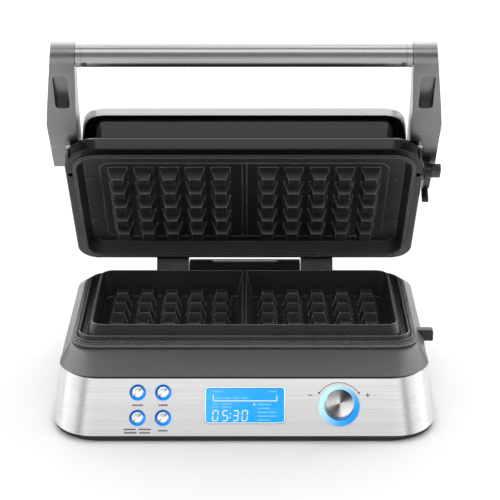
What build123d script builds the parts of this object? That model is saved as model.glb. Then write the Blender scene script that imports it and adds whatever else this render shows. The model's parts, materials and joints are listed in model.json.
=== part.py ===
from build123d import *
import math
import os

# Two-slice waffle maker, millimetres, +X to the right, -Y to the front, +Z up.
# Dimensions are measured from a point on the table below the centre of the waffle
# grids; write() moves each sub-part to the origin, below the middle of the open machine.
# Every lid dimension is given with the lid closed; open_lid() turns it to the rest pose.

ORIGIN_Y = -7.5

# Waffle grids
PITCH = 26.0
TEETH_PER_SIDE = 5
WAFFLE_X = 76.0
TOOTH_BASE = 20.0
TOOTH_TIP = 11.0
TOOTH_HEIGHT = 12.0
LOWER_TIP_Z = 62.0
LOWER_FLOOR_Z = LOWER_TIP_Z - TOOTH_HEIGHT
UPPER_TIP_Z = 67.8
UPPER_FLOOR_Z = UPPER_TIP_Z + TOOTH_HEIGHT

# Lower plate
CAVITY_X = 149.0
CAVITY_Y = 70.3
CAVITY_TOP_Z = 78.0
CAVITY_DRAFT = 3.0
RIDGE_X = 162.5
RIDGE_Y = 82.9
RIDGE_Z = 70.8
RIM_X = 169.8
RIM_Y = 94.1
RIM_Z = 66.3
DECK_Z = 62.2

# Base casing: half width, front, rear and corner radius at the panel's two edges
PANEL_BOTTOM = (184.0, -168.8, 131.0, 49.0, 6.4)
PANEL_TOP = (179.0, -136.3, 127.5, 39.0, 51.1)
SHELF_TOP = (170.5, -94.9, 95.0, 24.5, 61.5)
WRAP_THICKNESS = 1.0
WRAP_TOP_Z = 50.6
WRAP_REAR_Y = 88.0
HOUSING_INSET = 1.3
HOUSING_INNER_INSET = 5.3
TRAY_BOTTOM_Z = 1.2
TRAY_FLOOR_Z = 3.7
TRAY_TOP_Z = 6.2

# Control panel, measured along and down the slanted front
PANEL_SLANT = math.degrees(math.atan2(32.5, 44.7))
BUTTON_X = (-100.4, -76.3)
BUTTON_S = (13.9, 38.1)
BUTTON_D = 10.4
BUTTON_RING_D = 15.3
BUTTON_FLANGE_D = 12.4
DISPLAY_X = 1.0
DISPLAY_S = 26.0
DISPLAY_W = 76.6
DISPLAY_H = 35.5
DIAL_X = 89.8
DIAL_S = 26.7
DIAL_RING_D = 38.7
DIAL_D = 26.6
DIAL_HEIGHT = 15.0
SHAFT_R = 3.0
BOARD_FRONT = -9.9
BOARD_THICKNESS = 1.6

# Hinge
HINGE_Y = 112.8
HINGE_Z = 48.6
PIN_R = 4.0
RUNNING_CLEARANCE = 0.05
BLOCK_X = 59.6
LUG_X = (60.7, 95.3)
EAR_X = (96.4, 107.0)
REST_ANGLE = 52.2

# Lid
FLANGE_X = 179.0
FLANGE_FRONT_Y = -111.3
FLANGE_REAR_Y = 96.7
FLANGE_BOTTOM_Z = 68.2
FLANGE_TOP_Z = 85.0
UPPER_RIM_X = 171.6
UPPER_RIM_FRONT_Y = -101.3
UPPER_RIM_REAR_Y = 93.7
BOX_X = 149.0
BOX_FRONT_Y = -105.0
BOX_REAR_Y = 78.0
HOOD_X = 162.0
HOOD_FRONT_Y = -110.5
HOOD_REAR_Y = 84.0
HOOD_LIP_Z = 109.5
HOOD_TOP_Z = 122.0
HOOD_SKIRT_Z = 87.0
HOOD_THICKNESS = 1.2
UPPER_SHIELD_Z = 94.0

# Handle
TUBE_Y = -209.3
TUBE_Z = 108.6
TUBE_R = 11.75
TUBE_HALF = 158.3
ARM_REST_Z = 85.2

# Latch on the right side
LATCH_Y = -62.0
LATCH_Z = 76.0
LATCH_X = (181.4, 188.0)
LATCH_KNOB_X = 197.0
HOOK_INNER_R = 36.6
HOOK_OUTER_R = 41.0
CATCH_Y = (-41.0, -33.5)
CATCH_TOP_Z = 58.5

# Fasteners, bosses and feet
TRAY_SCREWS = [(-163, 62), (163, 62), (-163, -62), (163, -62), (-40, -118), (70, -118)]
FEET = [(-140, -120), (140, -120), (-140, 92), (140, 92)]
BOARD_SCREWS = [(-110, 9), (-110, 38), (50, 9), (50, 38)]
BOARD_POSTS = [(-116, -34), (-116, 34), (-4, -34), (-4, 34)]
PLATE_SCREWS = [(-157, 40), (157, 40), (-157, -40), (157, -40)]
BRACKET_SCREW_X = (-85.0, 85.0)
ARM_SCREW_X = 173.5
ARM_SCREW_Y = (-98.0, -66.0)
LUG_SCREW_X = (69.0, 87.0)
LUG_SCREW_Z = 76.0
HOOD_STUDS = [(-120, -97), (120, -97), (-120, 70), (120, 70)]

# Electrical parts
BOARD_Z = 12.0
GLAND_X = -118.0
GLAND_Z = 22.0

BUTTONS = {
    "power_button": (BUTTON_X[0], BUTTON_S[0]),
    "menu_button": (BUTTON_X[1], BUTTON_S[0]),
    "mode_button": (BUTTON_X[0], BUTTON_S[1]),
    "restart_button": (BUTTON_X[1], BUTTON_S[1]),
}

os.makedirs("parts", exist_ok=True)


def write(name, shape):
    export_step(Pos(0, -ORIGIN_Y, 0) * shape, f"parts/{name}.step")


def block(x, y, z):
    centre = Pos((x[0] + x[1]) / 2, (y[0] + y[1]) / 2, (z[0] + z[1]) / 2)
    return centre * Box(x[1] - x[0], y[1] - y[0], z[1] - z[0])


def rod_x(x0, x1, y, z, radius):
    return Pos((x0 + x1) / 2, y, z) * Rot(0, 90, 0) * Cylinder(radius, x1 - x0)


def rod_y(x, z, y0, y1, radius):
    return Pos(x, (y0 + y1) / 2, z) * Rot(90, 0, 0) * Cylinder(radius, y1 - y0)


def rod_z(x, y, z0, z1, radius):
    return Pos(x, y, (z0 + z1) / 2) * Cylinder(radius, z1 - z0)


def outline(half_x, front, rear, radius, z):
    middle = (front + rear) / 2
    return Pos(0, middle, z) * RectangleRounded(2 * half_x, rear - front, radius)


def prism(half_x, front, rear, radius, z0, z1):
    return extrude(outline(half_x, front, rear, radius, z0), z1 - z0)


def tapered(low, high):
    """A flat-sided block between two plans, its four corner edges rounded alike.

    The corners are rounded on a taller block, which is then cut to its height."""
    reach = 30 / (high[4] - low[4])
    x0, front0, rear0, _, z0 = [a + (a - b) * reach for a, b in zip(low, high)]
    x1, front1, rear1, _, z1 = [b + (b - a) * reach for a, b in zip(low, high)]
    wide = max(x0, x1)
    solid = side_profile([(front0, z0), (rear0, z0), (rear1, z1), (front1, z1)], -wide, wide)
    near, far = min(front0, front1), max(rear0, rear1)
    ends = [(-x0, near, z0), (x0, near, z0), (x1, near, z1), (-x1, near, z1)]
    solid &= extrude(make_face(Polyline(*ends, close=True)), far - near, dir=(0, 1, 0))
    corners = [e for e in solid.edges() if abs((e @ 0).Z - (e @ 1).Z) > 50]
    solid = fillet(corners, (low[3] + high[3]) / 2)
    return solid & block((-wide, wide), (near, far), (low[4], high[4]))


def blended(low, high):
    """The same between plans of quite different corner radii, as a loft."""
    return loft([outline(*low), outline(*high)], ruled=True)


def side_profile(points, x0, x1):
    """A solid whose outline is given by (y, z) points and that runs from x0 to x1."""
    face = make_face(Polyline(*[(x0, y, z) for y, z in points], close=True))
    return extrude(face, x1 - x0, dir=(1, 0, 0))


def casing_level(z, inset):
    """The base casing's plan at a height, with straight sides between its two edges."""
    share = (z - PANEL_BOTTOM[4]) / (PANEL_TOP[4] - PANEL_BOTTOM[4])
    low, high = PANEL_BOTTOM, PANEL_TOP
    half_x, front, rear, radius = [a + (b - a) * share for a, b in zip(low[:4], high[:4])]
    return (half_x - inset, front + inset, rear - inset, radius - inset, z)


def casing_block(z0, z1, inset):
    return tapered(casing_level(z0, inset), casing_level(z1, inset))


def on_panel(x, s, depth=0.0):
    """A place on the slanted front: s runs down the slope, depth runs outwards."""
    lean = math.radians(PANEL_SLANT)
    normal = (0, -math.cos(lean), math.sin(lean))
    plane = Plane(origin=(0, PANEL_TOP[1], PANEL_TOP[4]), x_dir=(1, 0, 0), z_dir=normal)
    return plane.location * Pos(x, -s, depth)


def panel_disc(x, s, depth0, depth1, diameter):
    return on_panel(x, s, (depth0 + depth1) / 2) * Cylinder(diameter / 2, depth1 - depth0)


def panel_plate(x, s, depth0, depth1, width, height, radius):
    sketch = on_panel(x, s, depth0) * RectangleRounded(width, height, radius)
    return extrude(sketch, depth1 - depth0)


def open_lid(shape):
    axis = Axis((0, HINGE_Y, HINGE_Z), (-1, 0, 0))
    return shape.rotate(axis, REST_ANGLE)


# ---------------------------------------------------------------- waffle plates


def tooth(floor_z, tip_z):
    base, tip = TOOTH_BASE / 2, TOOTH_TIP / 2
    flanks = [(-base, floor_z), (base, floor_z), (tip, tip_z), (-tip, tip_z)]
    across = side_profile(flanks, -base, base)
    return across & Rot(0, 0, 90) * across


def teeth(floor_z, tip_z):
    one = tooth(floor_z, tip_z)
    reach = PITCH * (TEETH_PER_SIDE - 1) / 2
    steps = [-reach + PITCH * i for i in range(TEETH_PER_SIDE)]
    places = [(side * WAFFLE_X + x, y) for side in (-1, 1) for x in steps for y in steps]
    return [Pos(x, y, 0) * one for x, y in places]


def lower_plate():
    under = LOWER_FLOOR_Z - 4.6
    wall = 1.5
    rim_low = prism(RIM_X, -RIM_Y, RIM_Y, 24, DECK_Z, RIM_Z - 1.2)
    rim_step = prism(RIM_X - 2.6, -RIM_Y + 2.6, RIM_Y - 2.6, 21.4, DECK_Z, RIM_Z)
    rim_low = chamfer(rim_low.edges().filter_by_position(Axis.Z, RIM_Z - 1.3, RIM_Z), 0.9)
    step_two = prism(RIM_X - 4.2, -RIM_Y + 5.4, RIM_Y - 5.4, 20, DECK_Z, RIM_Z + 1.6)
    body = rim_low + rim_step + step_two
    groove = prism(RIM_X - 5.4, -RIM_Y + 6.8, RIM_Y - 6.8, 19, DECK_Z + 3.2, RIM_Z + 5)
    body -= groove
    ridge = tapered(
        (RIDGE_X + 1.4, -RIDGE_Y - 2.6, RIDGE_Y + 2.6, 18.6, DECK_Z + 3.2),
        (RIDGE_X, -RIDGE_Y, RIDGE_Y, 17, RIDGE_Z),
    )
    moat = tapered(
        (RIDGE_X - 3.2, -RIDGE_Y + 3.2, RIDGE_Y - 3.2, 13.8, DECK_Z + 2.4),
        (RIDGE_X - 1.3, -RIDGE_Y + 1.3, RIDGE_Y - 1.3, 15.7, RIDGE_Z),
    )
    body = body + ridge - moat
    outer_wall = tapered(
        (CAVITY_X + 7.5, -CAVITY_Y - 7.5, CAVITY_Y + 7.5, 16, DECK_Z),
        (CAVITY_X + wall, -CAVITY_Y - wall, CAVITY_Y + wall, 10 + wall, CAVITY_TOP_Z),
    )
    tub = tapered(
        (CAVITY_X, -CAVITY_Y - 1, CAVITY_Y + 1, 10, under),
        (CAVITY_X + 4.5, -CAVITY_Y - 4.5, CAVITY_Y + 4.5, 12, DECK_Z + 2),
    )
    cavity = tapered(
        (CAVITY_X - CAVITY_DRAFT, -CAVITY_Y + CAVITY_DRAFT, CAVITY_Y - CAVITY_DRAFT, 8, LOWER_FLOOR_Z),
        (CAVITY_X, -CAVITY_Y, CAVITY_Y, 10, CAVITY_TOP_Z),
    )
    foot_z = LOWER_FLOOR_Z - 1
    divider_points = [(-8, foot_z), (-2, CAVITY_TOP_Z), (2, CAVITY_TOP_Z), (8, foot_z)]
    divider_line = Polyline(*[(x, -CAVITY_Y - 0.5, z) for x, z in divider_points], close=True)
    divider = extrude(make_face(divider_line), 2 * CAVITY_Y + 1, dir=(0, 1, 0))
    body = body + outer_wall + tub - cavity + divider
    body = body + teeth(LOWER_FLOOR_Z, LOWER_TIP_Z)
    for x, y in PLATE_SCREWS:
        body -= rod_z(x, y, DECK_Z - 1, DECK_Z + 1.9, 1.5)
    return body


def upper_plate():
    back = UPPER_FLOOR_Z + 2.6
    rim_z = FLANGE_BOTTOM_Z
    outer = tapered(
        (UPPER_RIM_X - 0.6, UPPER_RIM_FRONT_Y + 7, UPPER_RIM_REAR_Y - 3, 23, rim_z),
        (164.4, -83.2, 82.6, 17, back),
    )
    x, front, rear = UPPER_RIM_X, UPPER_RIM_FRONT_Y, UPPER_RIM_REAR_Y
    rim = prism(x, front, rear, 24, rim_z, rim_z + 2.4)
    ridge_out = prism(x, front, rear, 24, rim_z - 1, rim_z)
    ridge_out -= prism(x - 1.2, front + 2, rear - 1.2, 22.6, rim_z - 1, rim_z)
    ridge_in = prism(x - 1.9, front + 4.4, rear - 1.9, 21, rim_z - 1, rim_z)
    ridge_in -= prism(x - 3, front + 7.4, rear - 3.4, 19, rim_z - 1, rim_z)
    body = outer + rim + ridge_out + ridge_in
    body -= tapered(
        (UPPER_RIM_X - 3.1, UPPER_RIM_FRONT_Y + 9.4, UPPER_RIM_REAR_Y - 5.4, 21, rim_z - 1.1),
        (162, -80.3, 80.3, 15, UPPER_FLOOR_Z),
    )
    seat = prism(146.5, -CAVITY_Y, CAVITY_Y, 12, UPPER_FLOOR_Z - 0.5, UPPER_FLOOR_Z)
    seat -= prism(145.6, -CAVITY_Y + 0.9, CAVITY_Y - 0.9, 11, UPPER_FLOOR_Z - 0.5, UPPER_FLOOR_Z)
    body += seat
    line_y = CAVITY_Y - 0.5
    for x in (-2.3, 2.3):
        body += block((x - 0.4, x + 0.4), (-line_y, line_y), (UPPER_FLOOR_Z - 0.5, UPPER_FLOOR_Z))
    for x, y in PLATE_SCREWS:
        body += rod_z(x, y, UPPER_FLOOR_Z - 1.2, back, 4.2)
        body -= rod_z(x, y, UPPER_FLOOR_Z, back + 1, 1.5)
    return body + teeth(UPPER_FLOOR_Z, UPPER_TIP_Z)


def heating_element(z, tail_z):
    run = [(-30, 62), (-30, 40), (-112, 40), (-112, -40), (112, -40), (112, 40), (30, 40), (30, 62)]
    path = FilletPolyline(*[(x, y, z) for x, y in run], radius=12)
    start = Plane(origin=(run[0][0], run[0][1], z), z_dir=(0, -1, 0))
    tube = sweep(start * Circle(3.2), path=path)
    for x in (-30, 30):
        tube += rod_z(x, 61, min(z, tail_z), max(z, tail_z), 3.2)
    return tube


def heat_shield(half_x, half_y, open_z, closed_z, bolt_holes):
    """A shallow pan of sheet metal behind an element, closed side away from the plate."""
    low, high = sorted((open_z, closed_z))
    shell = prism(half_x, -half_y, half_y, 10, low, high)
    if closed_z < open_z:
        shell -= prism(half_x - 0.8, -half_y + 0.8, half_y - 0.8, 9.2, low + 0.8, high)
    else:
        shell -= prism(half_x - 0.8, -half_y + 0.8, half_y - 0.8, 9.2, low, high - 0.8)
    for x, y, radius in bolt_holes:
        shell -= rod_z(x, y, low - 1, high + 1, radius)
    return shell


# ---------------------------------------------------------------- base


def panel_openings(depth0, depth1):
    cuts = [panel_disc(x, s, depth0, depth1, BUTTON_RING_D + 0.4) for x, s in BUTTONS.values()]
    cuts.append(panel_disc(DIAL_X, DIAL_S, depth0, depth1, DIAL_RING_D + 0.4))
    cuts.append(panel_plate(DISPLAY_X, DISPLAY_S, depth0, depth1, DISPLAY_W + 0.4, DISPLAY_H + 0.4, 4.2))
    return cuts


def catch_slot(clearance):
    y0, y1 = CATCH_Y
    return block((164, 200), (y0 - clearance, y1 + clearance), (38 - clearance, CATCH_TOP_Z + clearance))


def stainless_wrap():
    wrap = casing_block(PANEL_BOTTOM[4], WRAP_TOP_Z, 0)
    wrap -= casing_block(PANEL_BOTTOM[4] - 1, WRAP_TOP_Z + 1, WRAP_THICKNESS)
    wrap -= block((-200, 200), (WRAP_REAR_Y, 140), (0, 60))
    for cut in panel_openings(-3, 2):
        wrap -= cut
    return wrap - catch_slot(0.3)


def base_housing():
    top_z = PANEL_TOP[4] + 0.8
    low = casing_block(9, 50.2, HOUSING_INSET)
    rear = casing_block(PANEL_BOTTOM[4], 50.2, 0) & block((-200, 200), (WRAP_REAR_Y + 0.3, 140), (0, 60))
    neck = casing_block(49, top_z + 0.4, 3.0)
    hood = blended((PANEL_TOP[0] - 0.6, PANEL_TOP[1] + 0.8, PANEL_TOP[2] - 0.6, 38.4, top_z), SHELF_TOP)
    shell = low + rear + neck + hood
    shell -= casing_block(0, top_z, HOUSING_INNER_INSET)
    inner = HOUSING_INNER_INSET
    shell -= blended(
        (PANEL_TOP[0] - inner, PANEL_TOP[1] + inner + 2, PANEL_TOP[2] - inner, 34, top_z - 0.01),
        (SHELF_TOP[0] - 3, SHELF_TOP[1] + 3, SHELF_TOP[2] - 3, 21, SHELF_TOP[4] - 2.6),
    )
    shell -= prism(CAVITY_X + 6, -CAVITY_Y - 6, CAVITY_Y + 6, 14, 40, 70)
    for x, y in TRAY_SCREWS:
        top = SHELF_TOP[4] - 1 if abs(x) > 100 else 54
        shell += rod_z(x, y, 14, top, 4.5)
        shell -= rod_z(x, y, 13, 30, 1.5)
    for x, s in BOARD_SCREWS:
        shell += panel_disc(x, s, BOARD_FRONT, -3.6, 6)
        shell -= panel_disc(x, s, BOARD_FRONT - 1, -5, 2.4)
    shell -= block((-EAR_X[1] - 1, EAR_X[1] + 1), (98.5, 140), (38.5, 70))
    for cut in panel_openings(-6, 2):
        shell -= cut
    shell -= rod_y(GLAND_X, GLAND_Z, 120, 140, 9.2)
    for x, y in PLATE_SCREWS:
        shell -= rod_z(x, y, 50, 70, 1.7)
    return shell - catch_slot(0.3)


def base_tray():
    half_x, front, rear, radius, _ = casing_level(PANEL_BOTTOM[4], 1.6)
    tray = prism(half_x, front, rear, radius, TRAY_BOTTOM_Z, TRAY_TOP_Z)
    tray -= prism(half_x - 3, front + 3, rear - 3, radius - 3, TRAY_BOTTOM_Z, TRAY_FLOOR_Z)
    for x, y in TRAY_SCREWS:
        tray += rod_z(x, y, TRAY_FLOOR_Z, 13.7, 5)
        tray -= rod_z(x, y, TRAY_FLOOR_Z - 1, 12, 3.4)
        tray -= rod_z(x, y, 10, 15, 1.7)
    for x in (-66, -22, 22, 66):
        for y in (-62, -20, 20, 62):
            tray -= Pos(x, y, TRAY_FLOOR_Z - 0.5) * extrude(SlotOverall(34, 4), 4)
    for x, y in BOARD_POSTS:
        tray += rod_z(x, y, TRAY_TOP_Z - 0.5, 12, 3.5)
        tray -= rod_z(x, y, 8, 13, 1.3)
    for x in BRACKET_SCREW_X:
        tray -= rod_z(x, HINGE_Y, 0, 10, 2.1)
    return tray


def hinge_bracket():
    beam = block((-EAR_X[1], EAR_X[1]), (101, 121.5), (TRAY_TOP_Z, 37))
    beam -= block((-EAR_X[1] + 4, EAR_X[1] - 4), (104, 118.5), (TRAY_TOP_Z, 33))
    middle = block((-BLOCK_X, BLOCK_X), (101, 124.6), (40, 73))
    middle &= rod_x(-BLOCK_X, BLOCK_X, HINGE_Y, HINGE_Z, 24.2)
    middle += block((-BLOCK_X, BLOCK_X), (101, 121.5), (36, HINGE_Z))
    middle += block((-BLOCK_X, BLOCK_X), (101, 124.6), (39.5, HINGE_Z))
    middle -= block((-35, 35), (90, 130), (71.4, 80))
    middle -= block((-46, 46), (104, 121.6), (30, 66))
    bracket = beam + middle
    for side in (-1, 1):
        x0, x1 = sorted((side * EAR_X[0], side * EAR_X[1]))
        bracket += block((x0, x1), (HINGE_Y - 8, HINGE_Y + 8), (36, HINGE_Z))
        bracket += rod_x(x0, x1, HINGE_Y, HINGE_Z, 8)
    bracket -= rod_x(-EAR_X[1] - 1, EAR_X[1] + 1, HINGE_Y, HINGE_Z, PIN_R + 0.02)
    for x in BRACKET_SCREW_X:
        bracket += rod_z(x, HINGE_Y, TRAY_TOP_Z, 34, 5)
        bracket -= rod_z(x, HINGE_Y, TRAY_TOP_Z - 1, 24, 2)
    return bracket


def latch_catch():
    y0, y1 = CATCH_Y
    bar = block((170, 189), (y0, y1), (46, CATCH_TOP_Z))
    bar = fillet(bar.edges().filter_by(Axis.Y).sort_by(Axis.X)[-2:], 2.4)
    bar &= rod_x(160, 200, LATCH_Y, LATCH_Z, HOOK_INNER_R - 0.6)
    foot = block((165.5, 169.9), (y0, y1), (40, CATCH_TOP_Z))
    gusset = side_gusset(y0, y1)
    return bar + foot + gusset


def side_gusset(y0, y1):
    """The web under the catch, hollowed by an arc where a finger reaches past it."""
    web = block((169.5, 179.6), (y0, y1), (40, 49))
    return web & rod_x(160, 200, LATCH_Y, LATCH_Z, HOOK_INNER_R - 0.6)


# ---------------------------------------------------------------- controls


def button_cap(x, s):
    cap = panel_disc(x, s, -5, 2.0, BUTTON_D)
    cap = chamfer(cap.edges().filter_by(GeomType.CIRCLE).sort_by(Axis.Z)[-1], 0.6)
    return cap + panel_disc(x, s, -5, -4, BUTTON_FLANGE_D) + panel_disc(x, s, -7.3, -4.5, 4)


def light_ring(x, s, outer, inner, depth0, depth1):
    return panel_disc(x, s, depth0, depth1, outer) - panel_disc(x, s, depth0 - 1, depth1 + 1, inner)


def dial_knob():
    knob = panel_disc(DIAL_X, DIAL_S, 0.4, DIAL_HEIGHT, DIAL_D)
    knob = chamfer(knob.edges().filter_by(GeomType.CIRCLE).sort_by(Axis.Z)[-1], 0.7)
    knob -= panel_disc(DIAL_X, DIAL_S, 0, 4, DIAL_D - 5)
    knob -= panel_disc(DIAL_X, DIAL_S, 0, 12, 2 * SHAFT_R + 0.04)
    return knob


def dial_encoder():
    body = panel_plate(DIAL_X, DIAL_S, BOARD_FRONT, -3.5, 14, 14, 1)
    body += panel_disc(DIAL_X, DIAL_S, -4, -0.4, 9)
    return body - panel_disc(DIAL_X, DIAL_S, -11, 2, 2 * (SHAFT_R + RUNNING_CLEARANCE))


def control_board():
    width = 224
    board = panel_plate(0, 24, BOARD_FRONT - BOARD_THICKNESS, BOARD_FRONT, width, 39, 1.5)
    for x, s in BOARD_SCREWS:
        board -= panel_disc(x, s, -20, 0, 3.0)
    return board


# ---------------------------------------------------------------- lid, closed


def lid_outline(half_x, front, rear, front_radius, rear_radius, z):
    sketch = Pos(0, (front + rear) / 2, z) * Rectangle(2 * half_x, rear - front)
    corners = sketch.vertices().group_by(Axis.Y)
    sketch = fillet(corners[0], front_radius)
    return fillet(sketch.vertices().group_by(Axis.Y)[-1], rear_radius)


def lid_frame():
    plan = lid_outline(FLANGE_X, FLANGE_FRONT_Y, FLANGE_REAR_Y, 34, 22, FLANGE_BOTTOM_Z)
    frame = extrude(plan, FLANGE_TOP_Z - FLANGE_BOTTOM_Z)
    top_edges = frame.edges().filter_by_position(Axis.Z, FLANGE_TOP_Z - 0.01, FLANGE_TOP_Z + 0.01)
    frame = fillet(top_edges, 6.0)
    low_edges = frame.edges().filter_by_position(Axis.Z, FLANGE_BOTTOM_Z - 0.01, FLANGE_BOTTOM_Z + 0.01)
    frame = chamfer(low_edges, 1.0)
    frame += prism(BOX_X, BOX_FRONT_Y, BOX_REAR_Y, 10, FLANGE_TOP_Z - 1, HOOD_LIP_Z + 1.5)
    under, wall, gap = FLANGE_BOTTOM_Z - 1, 2.5, 0.5
    frame -= prism(BOX_X - wall, BOX_FRONT_Y + wall, BOX_REAR_Y - wall, 7.5, under, HOOD_TOP_Z)
    front, rear = UPPER_RIM_FRONT_Y - gap, UPPER_RIM_REAR_Y + gap
    frame -= prism(UPPER_RIM_X + gap, front, rear, 24 + gap, under, FLANGE_TOP_Z - 2.1)
    for x, y in HOOD_STUDS:
        frame += rod_z(x, y, UPPER_SHIELD_Z + 1, HOOD_TOP_Z - HOOD_THICKNESS, 6)
        frame -= rod_z(x, y, FLANGE_TOP_Z + 20, HOOD_TOP_Z, 2.1)
    for x, y in PLATE_SCREWS:
        frame -= rod_z(x, y, FLANGE_TOP_Z - 3, FLANGE_TOP_Z + 1, 1.7)
    for side in (-1, 1):
        for y in ARM_SCREW_Y:
            frame -= rod_z(side * ARM_SCREW_X, y, under, FLANGE_TOP_Z - 4, 3.2)
            frame -= rod_z(side * ARM_SCREW_X, y, under, FLANGE_TOP_Z + 1, 1.7)
        for x in LUG_SCREW_X:
            frame -= rod_y(side * x, LUG_SCREW_Z, 90, 100, 1.7)
    return frame


def lid_hood():
    plan = lid_outline(HOOD_X, HOOD_FRONT_Y, HOOD_REAR_Y, 24, 20, HOOD_SKIRT_Z)
    hood = extrude(plan, HOOD_TOP_Z - HOOD_SKIRT_Z)
    top_edges = hood.edges().filter_by_position(Axis.Z, HOOD_TOP_Z - 0.01, HOOD_TOP_Z + 0.01)
    hood = fillet(top_edges, 5.0)
    t = HOOD_THICKNESS
    front, rear = HOOD_FRONT_Y + t, HOOD_REAR_Y - t
    inner_plan = lid_outline(HOOD_X - t, front, rear, 24 - t, 20 - t, HOOD_SKIRT_Z - 1)
    inner = extrude(inner_plan, HOOD_TOP_Z - t - HOOD_SKIRT_Z + 1)
    inner_edges = inner.edges().filter_by_position(Axis.Z, HOOD_TOP_Z - t - 0.01, HOOD_TOP_Z - t + 0.01)
    hood -= fillet(inner_edges, 5.0 - t)
    front_cut = [(-130, 80), (-72, 80), (-80, 88), (-96, 106), (-104, HOOD_LIP_Z), (-130, HOOD_LIP_Z)]
    hood -= side_profile(front_cut, -200, 200)
    for x, y in HOOD_STUDS:
        hood += rod_z(x, y, HOOD_TOP_Z - 14, HOOD_TOP_Z - t + 0.2, 2)
    return hood


def handle_arm(side):
    under = [(-48, 95), (-56, ARM_REST_Z), (-112.4, ARM_REST_Z), (-113, 84), (-148, 86), (-196, 96.9)]
    tip = [(TUBE_Y, TUBE_Z - TUBE_R), (TUBE_Y, TUBE_Z + TUBE_R)]
    back = [(-150, 121.2), (-112, 119.5), (-76, 114), (-52, 104)]
    arm = side_profile(under + tip + back, 140, 200) + rod_x(140, 200, TUBE_Y, TUBE_Z, TUBE_R)
    outside = [(192.5, -40), (192.5, -130), (189, -160), (181, -222)]
    inside = [(TUBE_HALF, -222), (164, -125), (165, -40)]
    arm &= extrude(make_face(Polyline(*[(x, y, 60) for x, y in outside + inside], close=True)), 80)
    pocket = Pos(174.6, -173, 80) * RectangleRounded(14, 40, 4)
    arm -= extrude(pocket, 18)
    arm += rod_x(TUBE_HALF - 14, TUBE_HALF + 1, TUBE_Y, TUBE_Z, TUBE_R - 1.6)
    arm -= rod_z(150, TUBE_Y, TUBE_Z - TUBE_R - 1, TUBE_Z - 2, 1.5)
    for y in ARM_SCREW_Y:
        arm -= rod_z(ARM_SCREW_X, y, 80, 98, 1.5)
    return arm if side > 0 else mirror(arm, about=Plane.YZ)


def handle_tube():
    tube = rod_x(-TUBE_HALF, TUBE_HALF, TUBE_Y, TUBE_Z, TUBE_R)
    tube -= rod_x(-TUBE_HALF - 1, TUBE_HALF + 1, TUBE_Y, TUBE_Z, TUBE_R - 1.5)
    for x in (-150, 150):
        tube -= rod_z(x, TUBE_Y, TUBE_Z - TUBE_R - 1, TUBE_Z - 5, 1.7)
    return tube


def hinge_lug(side):
    profile = [(97, 69.5), (97, 82), (108, 82), (117, 70), (121.5, 52), (HINGE_Y, HINGE_Z), (104.5, 52)]
    lug = side_profile(profile, LUG_X[0], LUG_X[1])
    lug += rod_x(LUG_X[0], LUG_X[1], HINGE_Y, HINGE_Z, 9)
    lug -= rod_x(LUG_X[0] - 1, LUG_X[1] + 1, HINGE_Y, HINGE_Z, PIN_R + RUNNING_CLEARANCE)
    for x in LUG_SCREW_X:
        lug -= rod_y(x, LUG_SCREW_Z, 96, 104, 1.5)
    return lug if side > 0 else mirror(lug, about=Plane.YZ)


def latch_mount():
    plate = block((FLANGE_X + 0.1, LATCH_X[0] - 0.3), (-74, -50), (71, 83))
    plate = fillet(plate.edges().filter_by(Axis.X), 3)
    return plate + rod_x(FLANGE_X + 0.1, LATCH_X[1] + 0.6, LATCH_Y, LATCH_Z, 2.5)


def latch_lever():
    x0, x1 = LATCH_X
    ring = rod_x(x0, x1, LATCH_Y, LATCH_Z, HOOK_OUTER_R)
    ring -= rod_x(x0 - 1, x1 + 1, LATCH_Y, LATCH_Z, HOOK_INNER_R)
    sector = [(LATCH_Y, LATCH_Z)]
    for angle in (12, -3, -18):
        a = math.radians(angle)
        sector.append((LATCH_Y + 60 * math.cos(a), LATCH_Z + 60 * math.sin(a)))
    toe = ring & side_profile(sector, x0, x1)
    top = [(-66, 82), (-30, 83), (-22.6, 83)]
    under = [(-22.8, 77.4), (-28.2, 76.8), (-35.4, 72.4), (-42, 71.2), (-66, 71)]
    arm = side_profile(top + under, x0, x1)
    hub = rod_x(x0, x1, LATCH_Y, LATCH_Z, 7.5)
    grip = block((x1 - 1, LATCH_KNOB_X), (LATCH_Y - 8, LATCH_Y + 8), (LATCH_Z - 4.5, LATCH_Z + 4.5))
    grip = fillet(grip.edges().filter_by(Axis.X), 3)
    lever = arm + hub + toe + grip
    return lever - rod_x(x0 - 1, LATCH_X[1] + 1, LATCH_Y, LATCH_Z, 2.5 + RUNNING_CLEARANCE)


def screw_z(x, y, head_z, tip_z, shank_r=1.45, head_r=2.9, head_height=1.8):
    """A pan-head screw along Z, its head at head_z and its tip at tip_z."""
    step = 1 if tip_z > head_z else -1
    head_end = head_z + step * head_height
    shank = rod_z(x, y, min(head_end, tip_z), max(head_end, tip_z), shank_r)
    head = rod_z(x, y, min(head_z, head_end), max(head_z, head_end), head_r)
    return head + shank


def panel_screw(x, s):
    head = panel_disc(x, s, BOARD_FRONT - BOARD_THICKNESS - 1.6, BOARD_FRONT - BOARD_THICKNESS, 4.6)
    return head + panel_disc(x, s, BOARD_FRONT - BOARD_THICKNESS - 0.1, -6, 2.2)


def lug_screw(x):
    head_y = UPPER_RIM_REAR_Y + 0.5
    head = rod_y(x, LUG_SCREW_Z, head_y - 1.8, head_y, 2.9)
    return head + rod_y(x, LUG_SCREW_Z, head_y - 0.1, 103, 1.45)


def group(solids):
    return Compound(children=list(solids))


# ---------------------------------------------------------------- write the base


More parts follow.
